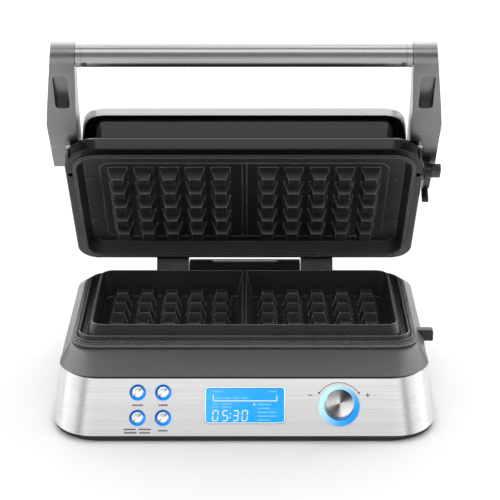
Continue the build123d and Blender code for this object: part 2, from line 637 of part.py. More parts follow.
write("lower_plate", lower_plate())
write("base_tray", base_tray())
write("base_housing", base_housing())
write("stainless_wrap", stainless_wrap())
write("hinge_bracket", hinge_bracket())
write("latch_catch", latch_catch())
write("rubber_feet", group(rod_z(x, y, 0, TRAY_FLOOR_Z, 9) for x, y in FEET))
write("lower_heating_element", heating_element(LOWER_FLOOR_Z - 7.9, 33))
shield_holes = [(0, 0, 6), (-30, 61, 4.2), (30, 61, 4.2)]
write("lower_heat_shield", heat_shield(146, 68, LOWER_FLOOR_Z - 5.0, 30, shield_holes))
write("lower_temperature_sensor", rod_z(0, 0, 28, LOWER_FLOOR_Z - 4.7, 4.5))
write("thermal_fuse", block((50, 72), (-5, 5), (23.6, 29.8)))

component_z = BOARD_Z + BOARD_THICKNESS
board = block((-122, 2), (-40, 40), (BOARD_Z, component_z))
for post_x, post_y in BOARD_POSTS:
    board -= rod_z(post_x, post_y, BOARD_Z - 1, BOARD_Z + 3, 1.6)
write("power_board", board)
relays = [block((x, x + 15), (-30, -10), (component_z, component_z + 13)) for x in (-105, -82)]
write("relays", group(relays))
write("transformer", block((-60, -28), (-32, -4), (component_z, component_z + 14.5)))
capacitors = [rod_z(x, 20, component_z, component_z + 13, 5.5) for x in (-95, -75, -55)]
write("filter_capacitors", group(capacitors))
write("terminal_block", block((-30, -4), (12, 26), (component_z, component_z + 11)))

gland = rod_y(GLAND_X, GLAND_Z, 124.5, 133.5, 8.8)
gland += rod_y(GLAND_X, GLAND_Z, 130.9, 133.5, 12)
gland -= rod_y(GLAND_X, GLAND_Z, 120, 140, 3.6)
write("cable_gland", gland)

pins = [rod_x(BLOCK_X - 12, EAR_X[1], HINGE_Y, HINGE_Z, PIN_R)]
pins.append(mirror(pins[0], about=Plane.YZ))
write("hinge_pins", group(pins))

washers = []
for edge_x in (BLOCK_X + 0.1, LUG_X[1] + 0.1):
    washer = rod_x(edge_x, edge_x + 0.9, HINGE_Y, HINGE_Z, 8)
    washer -= rod_x(edge_x - 1, edge_x + 2, HINGE_Y, HINGE_Z, PIN_R + 0.1)
    washers += [washer, mirror(washer, about=Plane.YZ)]
write("friction_washers", group(washers))

# Controls
write("control_board", control_board())
write("display_bezel", panel_plate(DISPLAY_X, DISPLAY_S, -2, 0.6, DISPLAY_W, DISPLAY_H, 4)
      - panel_plate(DISPLAY_X, DISPLAY_S, -3, 2, DISPLAY_W - 2.8, DISPLAY_H - 2.8, 2.6))
write("display_window", panel_plate(DISPLAY_X, DISPLAY_S, -1.9, 0.1, DISPLAY_W - 3, DISPLAY_H - 3, 2.5))
module_size = (DISPLAY_W - 3, DISPLAY_H - 3)
write("display_module", panel_plate(DISPLAY_X, DISPLAY_S, BOARD_FRONT, -2.1, *module_size, 1))
rings = [light_ring(x, s, BUTTON_RING_D, BUTTON_D + 0.6, -3.5, 0.5) for x, s in BUTTONS.values()]
write("button_light_rings", group(rings))
write("dial_light_ring", light_ring(DIAL_X, DIAL_S, DIAL_RING_D, DIAL_D + 0.8, -3, 1.2))
write("dial_encoder", dial_encoder())
write("dial_shaft", panel_disc(DIAL_X, DIAL_S, BOARD_FRONT + 0.3, 11.8, 2 * SHAFT_R))
write("dial_knob", dial_knob())
for name, place in BUTTONS.items():
    write(name, button_cap(*place))
switches = [panel_plate(x, s, BOARD_FRONT, -8.6, 6, 6, 0.5) for x, s in BUTTONS.values()]
write("tact_switches", group(switches))

# Fasteners of the base
write("tray_screws", group(screw_z(x, y, 8.1, 26) for x, y in TRAY_SCREWS))
write("lower_plate_screws", group(screw_z(x, y, 57, 64, head_height=1.7) for x, y in PLATE_SCREWS))
write("power_board_screws", group(screw_z(x, y, 15.2, 8.5, 1.25, 2.6, 1.6) for x, y in BOARD_POSTS))
write("control_board_screws", group(panel_screw(x, s) for x, s in BOARD_SCREWS))
bracket_screws = [screw_z(x, HINGE_Y, TRAY_FLOOR_Z - 1.8, 20, 1.95, 3.6) for x in BRACKET_SCREW_X]
write("hinge_bracket_screws", group(bracket_screws))

# ---------------------------------------------------------------- write the lid

write("lid_frame", open_lid(lid_frame()))
write("lid_hood", open_lid(lid_hood()))
write("upper_plate", open_lid(upper_plate()))
write("upper_heating_element", open_lid(heating_element(UPPER_FLOOR_Z + 5.9, 92)))
upper_shield = heat_shield(140, 66, UPPER_FLOOR_Z + 2.8, UPPER_SHIELD_Z, shield_holes)
write("upper_heat_shield", open_lid(upper_shield))
write("upper_temperature_sensor", open_lid(rod_z(0, 0, UPPER_FLOOR_Z + 2.7, 100, 4.5)))
write("handle_arm_left", open_lid(handle_arm(-1)))
write("handle_arm_right", open_lid(handle_arm(1)))
write("handle_tube", open_lid(handle_tube()))
head_z = TUBE_Z - TUBE_R - 1
tube_screws = [screw_z(x, TUBE_Y, head_z, TUBE_Z - 3, 1.45, 2.8, 1) for x in (-150, 150)]
write("handle_tube_screws", open_lid(group(tube_screws)))
arm_screws = [screw_z(side * ARM_SCREW_X, y, 79, 96) for side in (-1, 1) for y in ARM_SCREW_Y]
write("handle_arm_screws", open_lid(group(arm_screws)))
write("hinge_lug_left", open_lid(hinge_lug(-1)))
write("hinge_lug_right", open_lid(hinge_lug(1)))
lug_screws = [lug_screw(side * x) for side in (-1, 1) for x in LUG_SCREW_X]
write("hinge_lug_screws", open_lid(group(lug_screws)))
plate_screws = [screw_z(x, y, FLANGE_TOP_Z + 1.8, UPPER_FLOOR_Z + 0.4) for x, y in PLATE_SCREWS]
write("upper_plate_screws", open_lid(group(plate_screws)))
write("latch_mount", open_lid(latch_mount()))
write("latch_lever", open_lid(latch_lever()))
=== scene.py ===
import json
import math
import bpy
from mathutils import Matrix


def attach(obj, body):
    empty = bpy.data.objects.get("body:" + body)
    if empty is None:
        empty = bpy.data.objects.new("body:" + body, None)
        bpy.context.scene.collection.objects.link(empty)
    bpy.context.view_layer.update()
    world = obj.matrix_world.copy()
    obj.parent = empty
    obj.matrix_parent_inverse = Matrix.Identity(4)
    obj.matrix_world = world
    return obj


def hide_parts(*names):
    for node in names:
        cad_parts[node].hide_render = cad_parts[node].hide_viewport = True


bl_info = {
    "name": "Two-slice waffle maker",
    "version": (1, 0, 0),
    "blender": (4, 5, 0),
    "location": "3D View > Sidebar > Waffle Maker",
    "description": "Finishes the packed frame of a two-slice waffle maker: shells, plates, handle and controls",
    "category": "Object",
}

from contextlib import contextmanager

import bpy
from mathutils import Matrix, Vector

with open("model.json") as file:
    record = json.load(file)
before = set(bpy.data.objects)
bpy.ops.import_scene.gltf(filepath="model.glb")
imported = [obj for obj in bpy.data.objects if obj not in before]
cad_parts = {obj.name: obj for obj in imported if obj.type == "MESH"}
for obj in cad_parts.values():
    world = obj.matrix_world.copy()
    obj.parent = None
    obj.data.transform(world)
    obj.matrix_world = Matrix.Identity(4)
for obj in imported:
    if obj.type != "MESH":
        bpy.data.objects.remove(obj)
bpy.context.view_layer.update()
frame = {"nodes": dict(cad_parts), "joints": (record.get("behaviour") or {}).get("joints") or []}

MM = 0.001


# ------------------------------------------------------------------ places taken from the frame


def joint(name):
    return next(j for j in frame["joints"] if j["name"] == name)


def lid_place():
    """Carries a shape modelled with the lid shut to where the open lid holds it."""
    hinge = Vector(joint("lid_hinge")["pos_m"])
    opened = math.radians(-joint("lid_hinge")["range_deg"][0])
    turn = Matrix.Rotation(opened, 4, Vector(joint("lid_hinge")["axis"]))
    return Matrix.Translation(hinge) @ turn @ Matrix.Translation(-hinge)


def panel_place():
    """Carries a shape modelled flat, +Y up the slope and +Z out of it, onto the control panel."""
    out = Vector(joint("dial_turn")["axis"]).normalized()
    across = Vector((1, 0, 0))
    up = out.cross(across)
    turn = Matrix((across, up, out)).transposed().to_4x4()
    return Matrix.Translation(Vector(joint("dial_turn")["pos_m"])) @ turn


BASE = Matrix.Identity(4)
LID = lid_place()
PANEL = panel_place()


def extent(points):
    low = Vector([min(p[k] for p in points) for k in range(3)])
    high = Vector([max(p[k] for p in points) for k in range(3)])
    return low, high


def box_in(node, place):
    """A node's corners, measured along the axes of a place."""
    back = place.inverted()
    return extent([back @ v.co for v in frame["nodes"][node].data.vertices])


def centre_in(node, place):
    low, high = box_in(node, place)
    return (low + high) / 2


# ------------------------------------------------------------------ hand tools


def only(*pieces):
    """Leaves just these pieces selected, the first of them active."""
    if bpy.context.object and bpy.context.object.mode != "OBJECT":
        bpy.ops.object.mode_set(mode="OBJECT")
    bpy.ops.object.select_all(action="DESELECT")
    for piece in pieces:
        piece.select_set(True)
    bpy.context.view_layer.objects.active = pieces[0]


@contextmanager
def editing(piece, kind="FACE"):
    only(piece)
    bpy.ops.object.mode_set(mode="EDIT")
    bpy.ops.mesh.select_mode(type=kind)
    bpy.ops.mesh.select_all(action="DESELECT")
    yield piece
    bpy.ops.object.mode_set(mode="OBJECT")


def pick_faces(piece, test):
    """Selects, from object mode, the faces whose centre and normal pass the test."""
    for face in piece.data.polygons:
        face.select = test(face.center, face.normal)
    for edge in piece.data.edges:
        edge.select = False
    for vertex in piece.data.vertices:
        vertex.select = False


def settle(piece):
    only(piece)
    bpy.ops.object.transform_apply(location=True, rotation=True, scale=True)


def put(piece, place):
    """Moves a finished shape to its place and writes the place into its mesh."""
    piece.matrix_world = place @ piece.matrix_world
    settle(piece)
    return piece


def copy_to(piece, place, name="copy"):
    twin = bpy.data.objects.new(name, piece.data.copy())
    bpy.context.scene.collection.objects.link(twin)
    return put(twin, place)


def joined(name, pieces):
    """One piece out of several, which keep their own materials."""
    only(*pieces)
    if len(pieces) > 1:
        bpy.ops.object.join()
    piece = bpy.context.object
    piece.name = name
    piece.data.name = name
    return piece


def smooth(piece, degrees=32):
    only(piece)
    bpy.ops.object.shade_smooth_by_angle(angle=math.radians(degrees))


def round_edges(piece, width, segments=2, degrees=32, edge_highlight_material=-1):
    """Rounds every edge sharper than the angle and keeps the flats flat; the rounded faces can take their own material,
    used for a painted highlight.
    """
    smooth(piece, degrees)
    bevel = piece.modifiers.new("Rounded edges", "BEVEL")
    bevel.width = width
    bevel.segments = segments
    bevel.limit_method = "ANGLE"
    bevel.angle_limit = math.radians(degrees)
    bevel.harden_normals = True
    bevel.material = edge_highlight_material
    only(piece)
    bpy.ops.object.modifier_apply(modifier=bevel.name)


def cleaned_copy(node, name):
    """A merged copy of a CAD node, its flat faces whole again."""
    piece = bpy.data.objects.new(name, frame["nodes"][node].data.copy())
    bpy.context.scene.collection.objects.link(piece)
    piece.data.materials.clear()
    only(piece)
    if piece.data.has_custom_normals:
        bpy.ops.mesh.customdata_custom_splitnormals_clear()
    with editing(piece, "VERT"):
        bpy.ops.mesh.select_all(action="SELECT")
        bpy.ops.mesh.remove_doubles(threshold=0.002 * MM)
        bpy.ops.mesh.dissolve_limited(angle_limit=math.radians(0.6))
    return piece


def turned(name, profile, sides=64):
    """A lathe-turned piece on +Z, from (radius, height) pairs in millimetres."""
    radius, height = profile[0]
    bpy.ops.object.select_all(action="DESELECT")
    bpy.ops.mesh.primitive_circle_add(vertices=sides, radius=radius * MM, fill_type="NGON")
    piece = bpy.context.object
    piece.name = name
    piece.location.z = height * MM
    settle(piece)
    with editing(piece):
        bpy.ops.mesh.select_all(action="SELECT")
        for (r0, z0), (r1, z1) in zip(profile, profile[1:]):
            bpy.ops.mesh.extrude_region_move(TRANSFORM_OT_translate={"value": (0, 0, (z1 - z0) * MM)})
            bpy.ops.transform.resize(value=(r1 / r0, r1 / r0, 1), center_override=(0, 0, z1 * MM))
        bpy.ops.mesh.select_all(action="SELECT")
        bpy.ops.mesh.normals_make_consistent(inside=False)
    smooth(piece)
    return piece


def slab(name, width, height, thickness, corner=0.0, corner_steps=4):
    """A flat plate on z = 0 with rounded corners, in millimetres."""
    bpy.ops.object.select_all(action="DESELECT")
    bpy.ops.mesh.primitive_plane_add(size=1)
    piece = bpy.context.object
    piece.name = name
    piece.scale = (width * MM, height * MM, 1)
    settle(piece)
    with editing(piece, "VERT"):
        bpy.ops.mesh.select_all(action="SELECT")
        if corner:
            bpy.ops.mesh.bevel(offset=corner * MM, segments=corner_steps, affect="VERTICES")
            bpy.ops.mesh.select_all(action="SELECT")
        bpy.ops.mesh.extrude_region_move(TRANSFORM_OT_translate={"value": (0, 0, thickness * MM)})
        bpy.ops.mesh.select_all(action="SELECT")
        bpy.ops.mesh.normals_make_consistent(inside=False)
    return piece


def cut_away(piece, cutter):
    """Takes one shape out of another and throws the cutter away."""
    cut = piece.modifiers.new("Cut", "BOOLEAN")
    cut.object = cutter
    cut.operation = "DIFFERENCE"
    cut.solver = "EXACT"
    only(piece)
    bpy.ops.object.modifier_apply(modifier=cut.name)
    bpy.data.objects.remove(cutter)


def hand_over(piece, body, slot, *nodes):
    """Tells the frame what a finished piece rides on and stands for."""
    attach(piece, body)
    if nodes:
        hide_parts(*nodes)


def solids_of(node, place):
    """The corners of each separate solid of a node, measured in a place."""
    whole = cleaned_copy(node, "parts")
    only(whole)
    bpy.ops.object.mode_set(mode="EDIT")
    bpy.ops.mesh.separate(type="LOOSE")
    bpy.ops.object.mode_set(mode="OBJECT")
    parts = list(bpy.context.selected_objects)
    back = place.inverted()
    found = [extent([back @ v.co for v in part.data.vertices]) for part in parts]
    for part in parts:
        bpy.data.objects.remove(part)
    return found


# ------------------------------------------------------------------ shared surface effects


def new_group(name, inputs, outputs):
    """A shader node group with the named sockets, and helpers to fill it."""
    tree = bpy.data.node_groups.new(name, "ShaderNodeTree")
    for label, kind, value in inputs:
        socket = tree.interface.new_socket(name=label, in_out="INPUT", socket_type=kind)
        if value is not None:
            socket.default_value = value
    for label, kind in outputs:
        tree.interface.new_socket(name=label, in_out="OUTPUT", socket_type=kind)
    return tree, tree.nodes.new("NodeGroupInput").outputs, tree.nodes.new("NodeGroupOutput").inputs


def add(tree, kind, settings=None, **values):
    """A node whose sockets take numbers, colours or the outputs of other nodes."""
    node = tree.nodes.new("ShaderNode" + kind)
    for key, value in (settings or {}).items():
        setattr(node, key, value)
    for key, value in values.items():
        socket = node.inputs[int(key[1:])] if key[1:].isdigit() else node.inputs[key.replace("_", " ")]
        if isinstance(value, bpy.types.NodeSocket):
            tree.links.new(value, socket)
        else:
            socket.default_value = value
    return node


def blend_colours(tree, factor, first, second, kind="MIX"):
    node = add(tree, "Mix", {"data_type": "RGBA", "blend_type": kind}, s0=factor, s6=first, s7=second)
    return node.outputs[2]


def spread(tree, value, low, high, from_low=0.0, from_high=1.0):
    """The value's range stretched to another."""
    node = add(tree, "MapRange", s0=value, s1=from_low, s2=from_high, s3=low, s4=high)
    return node.outputs[0]


def brushed_group():
    """Long fine lines left by a brushing belt; Lay is the number of lines per metre each way."""
    inputs = [
        ("Position", "NodeSocketVector", None),
        ("Lay", "NodeSocketVector", (4.0, 900.0, 900.0)),
        ("Dark", "NodeSocketColor", (0.6, 0.6, 0.6, 1)),
        ("Light", "NodeSocketColor", (0.8, 0.8, 0.8, 1)),
        ("Smoothest", "NodeSocketFloat", 0.25),
        ("Roughest", "NodeSocketFloat", 0.4),
    ]
    outputs = [("Colour", "NodeSocketColor"), ("Roughness", "NodeSocketFloat"), ("Height", "NodeSocketFloat")]
    tree, given, made = new_group("Brushed lines", inputs, outputs)
    scaled = add(tree, "VectorMath", {"operation": "MULTIPLY"}, s0=given["Position"], s1=given["Lay"])
    lines = add(tree, "TexNoise", Vector=scaled.outputs[0], Scale=1.0, Detail=5.0, Roughness=0.7)
    broad = add(tree, "TexNoise", Vector=scaled.outputs[0], Scale=0.12, Detail=2.0, Roughness=0.5)
    mixed = add(tree, "Math", {"operation": "MULTIPLY_ADD"}, s0=broad.outputs[0], s1=0.2, s2=lines.outputs[0])
    level = spread(tree, mixed.outputs[0], 0.0, 1.0, 0.36, 0.84)
    tree.links.new(blend_colours(tree, level, given["Dark"], given["Light"]), made["Colour"])
    rough = add(tree, "MapRange", s0=level, s3=given["Roughest"], s4=given["Smoothest"])
    tree.links.new(rough.outputs[0], made["Roughness"])
    tree.links.new(lines.outputs[0], made["Height"])
    return tree


def grain_group():
    """The fine uneven skin of moulded plastic, castings and coatings."""
    inputs = [
        ("Position", "NodeSocketVector", None),
        ("Grains", "NodeSocketFloat", 2500.0),
        ("Dark", "NodeSocketColor", (0.02, 0.02, 0.02, 1)),
        ("Light", "NodeSocketColor", (0.03, 0.03, 0.03, 1)),
        ("Smoothest", "NodeSocketFloat", 0.3),
        ("Roughest", "NodeSocketFloat", 0.45),
    ]
    outputs = [("Colour", "NodeSocketColor"), ("Roughness", "NodeSocketFloat"), ("Height", "NodeSocketFloat")]
    tree, given, made = new_group("Fine grain", inputs, outputs)
    fine = add(tree, "TexNoise", Vector=given["Position"], Scale=given["Grains"], Detail=3.0, Roughness=0.6)
    cloud = add(tree, "TexNoise", Vector=given["Position"], Scale=45.0, Detail=4.0, Roughness=0.55)
    grains = spread(tree, fine.outputs[0], 0.0, 1.0, 0.3, 0.7)
    tree.links.new(blend_colours(tree, grains, given["Dark"], given["Light"]), made["Colour"])
    rough = add(tree, "MapRange", s0=cloud.outputs[0], s1=0.3, s2=0.7, s3=given["Smoothest"], s4=given["Roughest"])
    tree.links.new(rough.outputs[0], made["Roughness"])
    tree.links.new(fine.outputs[0], made["Height"])
    return tree


def handling_group():
    """Soft cloudy marks that hands and wiping leave, as a mask."""
    inputs = [("Position", "NodeSocketVector", None), ("Patches", "NodeSocketFloat", 30.0)]
    tree, given, made = new_group("Handling marks", inputs, [("Mask", "NodeSocketFloat")])
    cloud = add(tree, "TexNoise", Vector=given["Position"], Scale=given["Patches"], Detail=5.0, Distortion=1.2)
    tree.links.new(spread(tree, cloud.outputs[0], 0.0, 1.0, 0.42, 0.68), made["Mask"])
    return tree


def lit_group():
    """A glow that changes evenly from one colour to another along a direction."""
    inputs = [
        ("Position", "NodeSocketVector", None),
        ("Centre", "NodeSocketVector", (0.0, 0.0, 0.0)),
        ("Direction", "NodeSocketVector", (1.0, 0.0, 0.0)),
        ("Reach", "NodeSocketFloat", 0.02),
        ("Near", "NodeSocketColor", (0.0, 0.3, 1.0, 1)),
        ("Far", "NodeSocketColor", (0.5, 0.9, 1.0, 1)),
    ]
    outputs = [("Colour", "NodeSocketColor"), ("Level", "NodeSocketFloat")]
    tree, given, made = new_group("Lit gradient", inputs, outputs)
    offset = add(tree, "VectorMath", {"operation": "SUBTRACT"}, s0=given["Position"], s1=given["Centre"])
    along = add(tree, "VectorMath", {"operation": "DOT_PRODUCT"}, s0=offset.outputs[0], s1=given["Direction"])
    share = add(tree, "Math", {"operation": "DIVIDE"}, s0=along.outputs["Value"], s1=given["Reach"])
    level = add(tree, "MapRange", {"interpolation_type": "SMOOTHSTEP"}, s0=share.outputs[0], s1=-1.0, s2=1.0)
    tree.links.new(blend_colours(tree, level.outputs[0], given["Near"], given["Far"]), made["Colour"])
    tree.links.new(level.outputs[0], made["Level"])
    return tree


def painted_sheen_group():
    """The colour is a painted reflection: sectors of light and dark such as a lathe-faced disc shows under the lights,
    broken by its own fine turned rings, which also give roughness and height.
    """
    inputs = [
        ("Position", "NodeSocketVector", None),
        ("Centre", "NodeSocketVector", (0.0, 0.0, 0.0)),
        ("Across", "NodeSocketVector", (1.0, 0.0, 0.0)),
        ("Up", "NodeSocketVector", (0.0, 1.0, 0.0)),
        ("Lean", "NodeSocketFloat", 0.0),
        ("Narrow", "NodeSocketFloat", 0.5),
        ("Dark", "NodeSocketColor", (0.2, 0.2, 0.2, 1)),
        ("Light", "NodeSocketColor", (0.8, 0.8, 0.8, 1)),
    ]
    outputs = [("Colour", "NodeSocketColor"), ("Roughness", "NodeSocketFloat"), ("Height", "NodeSocketFloat")]
    tree, given, made = new_group("Painted sheen of a turned disc", inputs, outputs)
    arm = add(tree, "VectorMath", {"operation": "SUBTRACT"}, s0=given["Position"], s1=given["Centre"])
    x = add(tree, "VectorMath", {"operation": "DOT_PRODUCT"}, s0=arm.outputs[0], s1=given["Across"])
    y = add(tree, "VectorMath", {"operation": "DOT_PRODUCT"}, s0=arm.outputs[0], s1=given["Up"])
    radius = add(tree, "VectorMath", {"operation": "LENGTH"}, s0=arm.outputs[0])
    angle = add(tree, "Math", {"operation": "ARCTAN2"}, s0=y.outputs["Value"], s1=x.outputs["Value"])
    # Painted reflection: the cosine of twice the angle gives two light and two dark sectors round the centre, turned by
    # Lean.
    twice = add(tree, "Math", {"operation": "MULTIPLY_ADD"}, s0=angle.outputs[0], s1=2.0, s2=given["Lean"])
    painted_fan = add(tree, "Math", {"operation": "COSINE"}, s0=twice.outputs[0])
    rings = add(tree, "TexNoise", {"noise_dimensions": "1D"}, W=radius.outputs["Value"], Scale=3500.0, Detail=3.0)
    ripple = spread(tree, rings.outputs[0], -0.16, 0.16, 0.3, 0.7)
    both = add(tree, "Math", {"operation": "ADD"}, s0=painted_fan.outputs[0], s1=ripple)
    level = add(tree, "MapRange", {"interpolation_type": "SMOOTHSTEP"}, s0=both.outputs[0], s1=given["Narrow"], s2=1.0)
    # The light and dark sectors are painted into the colour, as a reflection would show them.
    tree.links.new(blend_colours(tree, level.outputs[0], given["Light"], given["Dark"]), made["Colour"])
    tree.links.new(spread(tree, rings.outputs[0], 0.2, 0.32), made["Roughness"])
    tree.links.new(rings.outputs[0], made["Height"])
    return tree


GROUPS = {}
MATERIALS = {}


def group_node(tree, name, **values):
    makers = {"brushed": brushed_group, "grain": grain_group, "handling": handling_group, "lit": lit_group,
              "sheen": painted_sheen_group}
    if name not in GROUPS:
        GROUPS[name] = makers[name]()
    node = tree.nodes.new("ShaderNodeGroup")
    node.node_tree = GROUPS[name]
    for key, value in values.items():
        socket = node.inputs[key]
        if isinstance(value, bpy.types.NodeSocket):
            tree.links.new(value, socket)
        else:
            socket.default_value = value
    return node


def grey(value):
    return (value, value, value, 1)


def rgb(colour):
    return (*colour, 1)


def new_material(name, **constants):
    """A material with its shader's plain values set, and its object coordinates."""
    material = bpy.data.materials.new(name)
    material.use_nodes = True
    tree = material.node_tree
    shader = tree.nodes["Principled BSDF"]
    for key, value in constants.items():
        shader.inputs[key.replace("_", " ")].default_value = value
    position = tree.nodes.new("ShaderNodeTexCoord").outputs["Object"]
    return material, tree, shader, position


def wire(tree, shader, surface, bump=0.1, depth=0.05):
    """Feeds a surface group's colour, roughness and height to the shader."""
    tree.links.new(surface.outputs["Colour"], shader.inputs["Base Color"])
    tree.links.new(surface.outputs["Roughness"], shader.inputs["Roughness"])
    raised = add(tree, "Bump", Height=surface.outputs["Height"], Strength=bump, Distance=depth * MM)
    tree.links.new(raised.outputs["Normal"], shader.inputs["Normal"])


def brushed_metal(name, lay, dark, light, smoothest, roughest, bump=0.12, **constants):
    material, tree, shader, position = new_material(name, Metallic=1.0, **constants)
    surface = group_node(
        tree, "brushed", Position=position, Lay=lay, Dark=grey(dark), Light=grey(light),
        Smoothest=smoothest, Roughest=roughest,
    )
    wire(tree, shader, surface, bump)
    return material


def grained(name, grains, dark, light, smoothest, roughest, bump=0.1, depth=0.05, **constants):
    material, tree, shader, position = new_material(name, **constants)
    surface = group_node(
        tree, "grain", Position=position, Grains=grains, Dark=rgb(dark), Light=rgb(light),
        Smoothest=smoothest, Roughest=roughest,
    )
    wire(tree, shader, surface, bump, depth)
    return material


def handled(material, dull, patches=28.0):
    """Adds wiped, cloudy patches to the roughness of a finished material."""
    tree = material.node_tree
    shader = tree.nodes["Principled BSDF"]
    position = next(n for n in tree.nodes if n.bl_idname == "ShaderNodeTexCoord").outputs["Object"]
    before = shader.inputs["Roughness"].links[0].from_socket
    marks = group_node(tree, "handling", Position=position, Patches=patches)
    more = add(tree, "Math", {"operation": "MULTIPLY_ADD"}, s0=marks.outputs[0], s1=dull, s2=before)
    tree.links.new(more.outputs[0], shader.inputs["Roughness"])
    return material


# ------------------------------------------------------------------ finishes


def wrap_steel():
    return handled(brushed_metal("Wrap steel", (4, 60, 1500), 0.62, 0.76, 0.24, 0.34), 0.03)


def hood_steel():
    return handled(brushed_metal("Hood steel", (4, 900, 900), 0.40, 0.52, 0.26, 0.36), 0.04)


def tube_steel():
    return brushed_metal("Tube steel", (7, 900, 900), 0.34, 0.50, 0.18, 0.26)


def cast_aluminium():
    light = grained("Satin cast aluminium", 1500, (0.22,) * 3, (0.31,) * 3, 0.26, 0.38, 0.25, Metallic=1.0)
    return handled(light, 0.06)


# Painted highlight: a pale colour on the arms' rounded edges where the lights catch them.
def cast_edge():
    return grained("Painted highlight on the casting's edges", 1500, (0.62,) * 3, (0.78,) * 3, 0.22, 0.32, 0.1, Metallic=0.6)


def nonstick():
    return grained("Non-stick coating", 1400, (0.019,) * 3, (0.030,) * 3, 0.26, 0.38, 0.2, 0.08)


# Painted highlight: a pale colour on the black coating's rounded edges where the lights catch them, not a colour of the
# coating.
def nonstick_edge_highlight():
    return grained("Painted highlight on the non-stick edges", 1400, (0.66,) * 3, (0.82,) * 3, 0.20, 0.30, 0.1, Metallic=0.25)


def black_gloss():
    plastic = grained("Gloss black plastic", 300, (0.004,) * 3, (0.007,) * 3, 0.08, 0.13, 0.012, Specular_IOR_Level=0.4)
    return handled(plastic, 0.05)


def shelf_plastic():
    plastic = grained("Grey satin plastic", 1800, (0.098,) * 3, (0.112,) * 3, 0.28, 0.34, 0.06)
    return handled(plastic, 0.02)


def black_satin():
    return grained("Satin black plastic", 1600, (0.005,) * 3, (0.010,) * 3, 0.28, 0.40, 0.15)


def hinge_paint():
    return grained("Satin painted casting", 1200, (0.028,) * 3, (0.040,) * 3, 0.28, 0.40, 0.2, Metallic=0.3)


def rubber():
    return grained("Black rubber", 900, (0.012,) * 3, (0.022,) * 3, 0.65, 0.85, 0.3)


def zinc_steel():
    return brushed_metal("Zinc-plated steel", (300, 300, 300), 0.50, 0.66, 0.28, 0.42)


def dark_steel():
    return brushed_metal("Blackened steel", (300, 300, 300), 0.08, 0.13, 0.30, 0.45)


def painted_sheen_metal(name, centre, lean, narrow, dark, light):
    """A disc faced on a lathe, its axis square to the panel, with a painted reflection of light and dark sectors in its
    colour.
    """
    material, tree, shader, position = new_material(name, Metallic=1.0)
    turn = PANEL.to_3x3()
    painted_fan = group_node(
        tree, "sheen", Position=position, Centre=centre, Across=turn @ Vector((1, 0, 0)),
        Up=turn @ Vector((0, 1, 0)), Lean=lean, Narrow=narrow, Dark=grey(dark), Light=grey(light),
    )
    wire(tree, shader, painted_fan, 0.06, 0.03)
    return material


def chrome():
    return brushed_metal("Bright trim", (200, 200, 200), 0.84, 0.92, 0.06, 0.12, 0.03)


def glowing(name, centre, direction, reach, near, far, strength, base=0.05):
    """A lit translucent plastic whose glow runs from one colour to another."""
    material, tree, shader, position = new_material(name, Specular_IOR_Level=0.1, Emission_Strength=strength)
    glow = group_node(
        tree, "lit", Position=position, Centre=centre, Direction=direction, Reach=reach, Near=rgb(near), Far=rgb(far)
    )
    speck = group_node(
        tree, "grain", Position=position, Grains=1500.0, Dark=rgb([c * base for c in near]),
        Light=rgb([c * base * 2 for c in far]), Smoothest=0.18, Roughest=0.3,
    )
    tree.links.new(glow.outputs["Colour"], shader.inputs["Emission Color"])
    wire(tree, shader, speck, 0.03)
    return material


def clear_glass():
    material, tree, shader, position = new_material("Clear window", Transmission_Weight=1.0, IOR=1.2)
    wiped = group_node(tree, "handling", Position=position, Patches=60.0)
    tree.links.new(spread(tree, wiped.outputs[0], 0.02, 0.06), shader.inputs["Roughness"])
    tint = blend_colours(tree, wiped.outputs[0], (0.97, 0.99, 1, 1), (0.93, 0.97, 1, 1))
    tree.links.new(tint, shader.inputs["Base Color"])
    return material


def ink():
    return grained("Printed black ink", 4000, (0.012,) * 3, (0.022,) * 3, 0.45, 0.6, 0.05)


def circuit_green():
    """Green board lacquer over fine copper tracks."""
    material, tree, shader, position = new_material("Circuit board lacquer")
    tracks = add(tree, "TexBrick", Vector=position, Scale=90.0, Color1=(0.01, 0.09, 0.03, 1),
                 Color2=(0.015, 0.13, 0.04, 1), Mortar=(0.05, 0.22, 0.07, 1))
    surface = group_node(
        tree, "grain", Position=position, Grains=3000.0, Dark=grey(0.85), Light=grey(1.0),
        Smoothest=0.22, Roughest=0.35,
    )
    wire(tree, shader, surface, 0.08)
    both = blend_colours(tree, 1.0, tracks.outputs[0], surface.outputs["Colour"], "MULTIPLY")
    tree.links.new(both, shader.inputs["Base Color"])
    return material


def moulded_component():
    return grained("Moulded component", 2200, (0.02, 0.02, 0.022), (0.05, 0.05, 0.055), 0.4, 0.6, 0.15)


def sheathed_steel():
    return grained("Heat-tinted sheath", 900, (0.16, 0.13, 0.10), (0.30, 0.27, 0.24), 0.35, 0.55, 0.2, Metallic=1.0)


def galvanised():
    """The large crystals of hot-dipped sheet."""
    material, tree, shader, position = new_material("Galvanised sheet", Metallic=1.0)
    crystals = add(tree, "TexVoronoi", Vector=position, Scale=140.0)
    colour = blend_colours(tree, crystals.outputs["Distance"], grey(0.5), grey(0.7))
    tree.links.new(colour, shader.inputs["Base Color"])
    tree.links.new(spread(tree, crystals.outputs["Distance"], 0.3, 0.5), shader.inputs["Roughness"])
    return material


def brass():
    return grained("Turned brass", 1200, (0.55, 0.38, 0.14), (0.75, 0.55, 0.24), 0.22, 0.36, 0.1, Metallic=1.0)


def ceramic():
    return grained("White ceramic", 1000, (0.72, 0.70, 0.65), (0.82, 0.80, 0.76), 0.5, 0.7, 0.15)


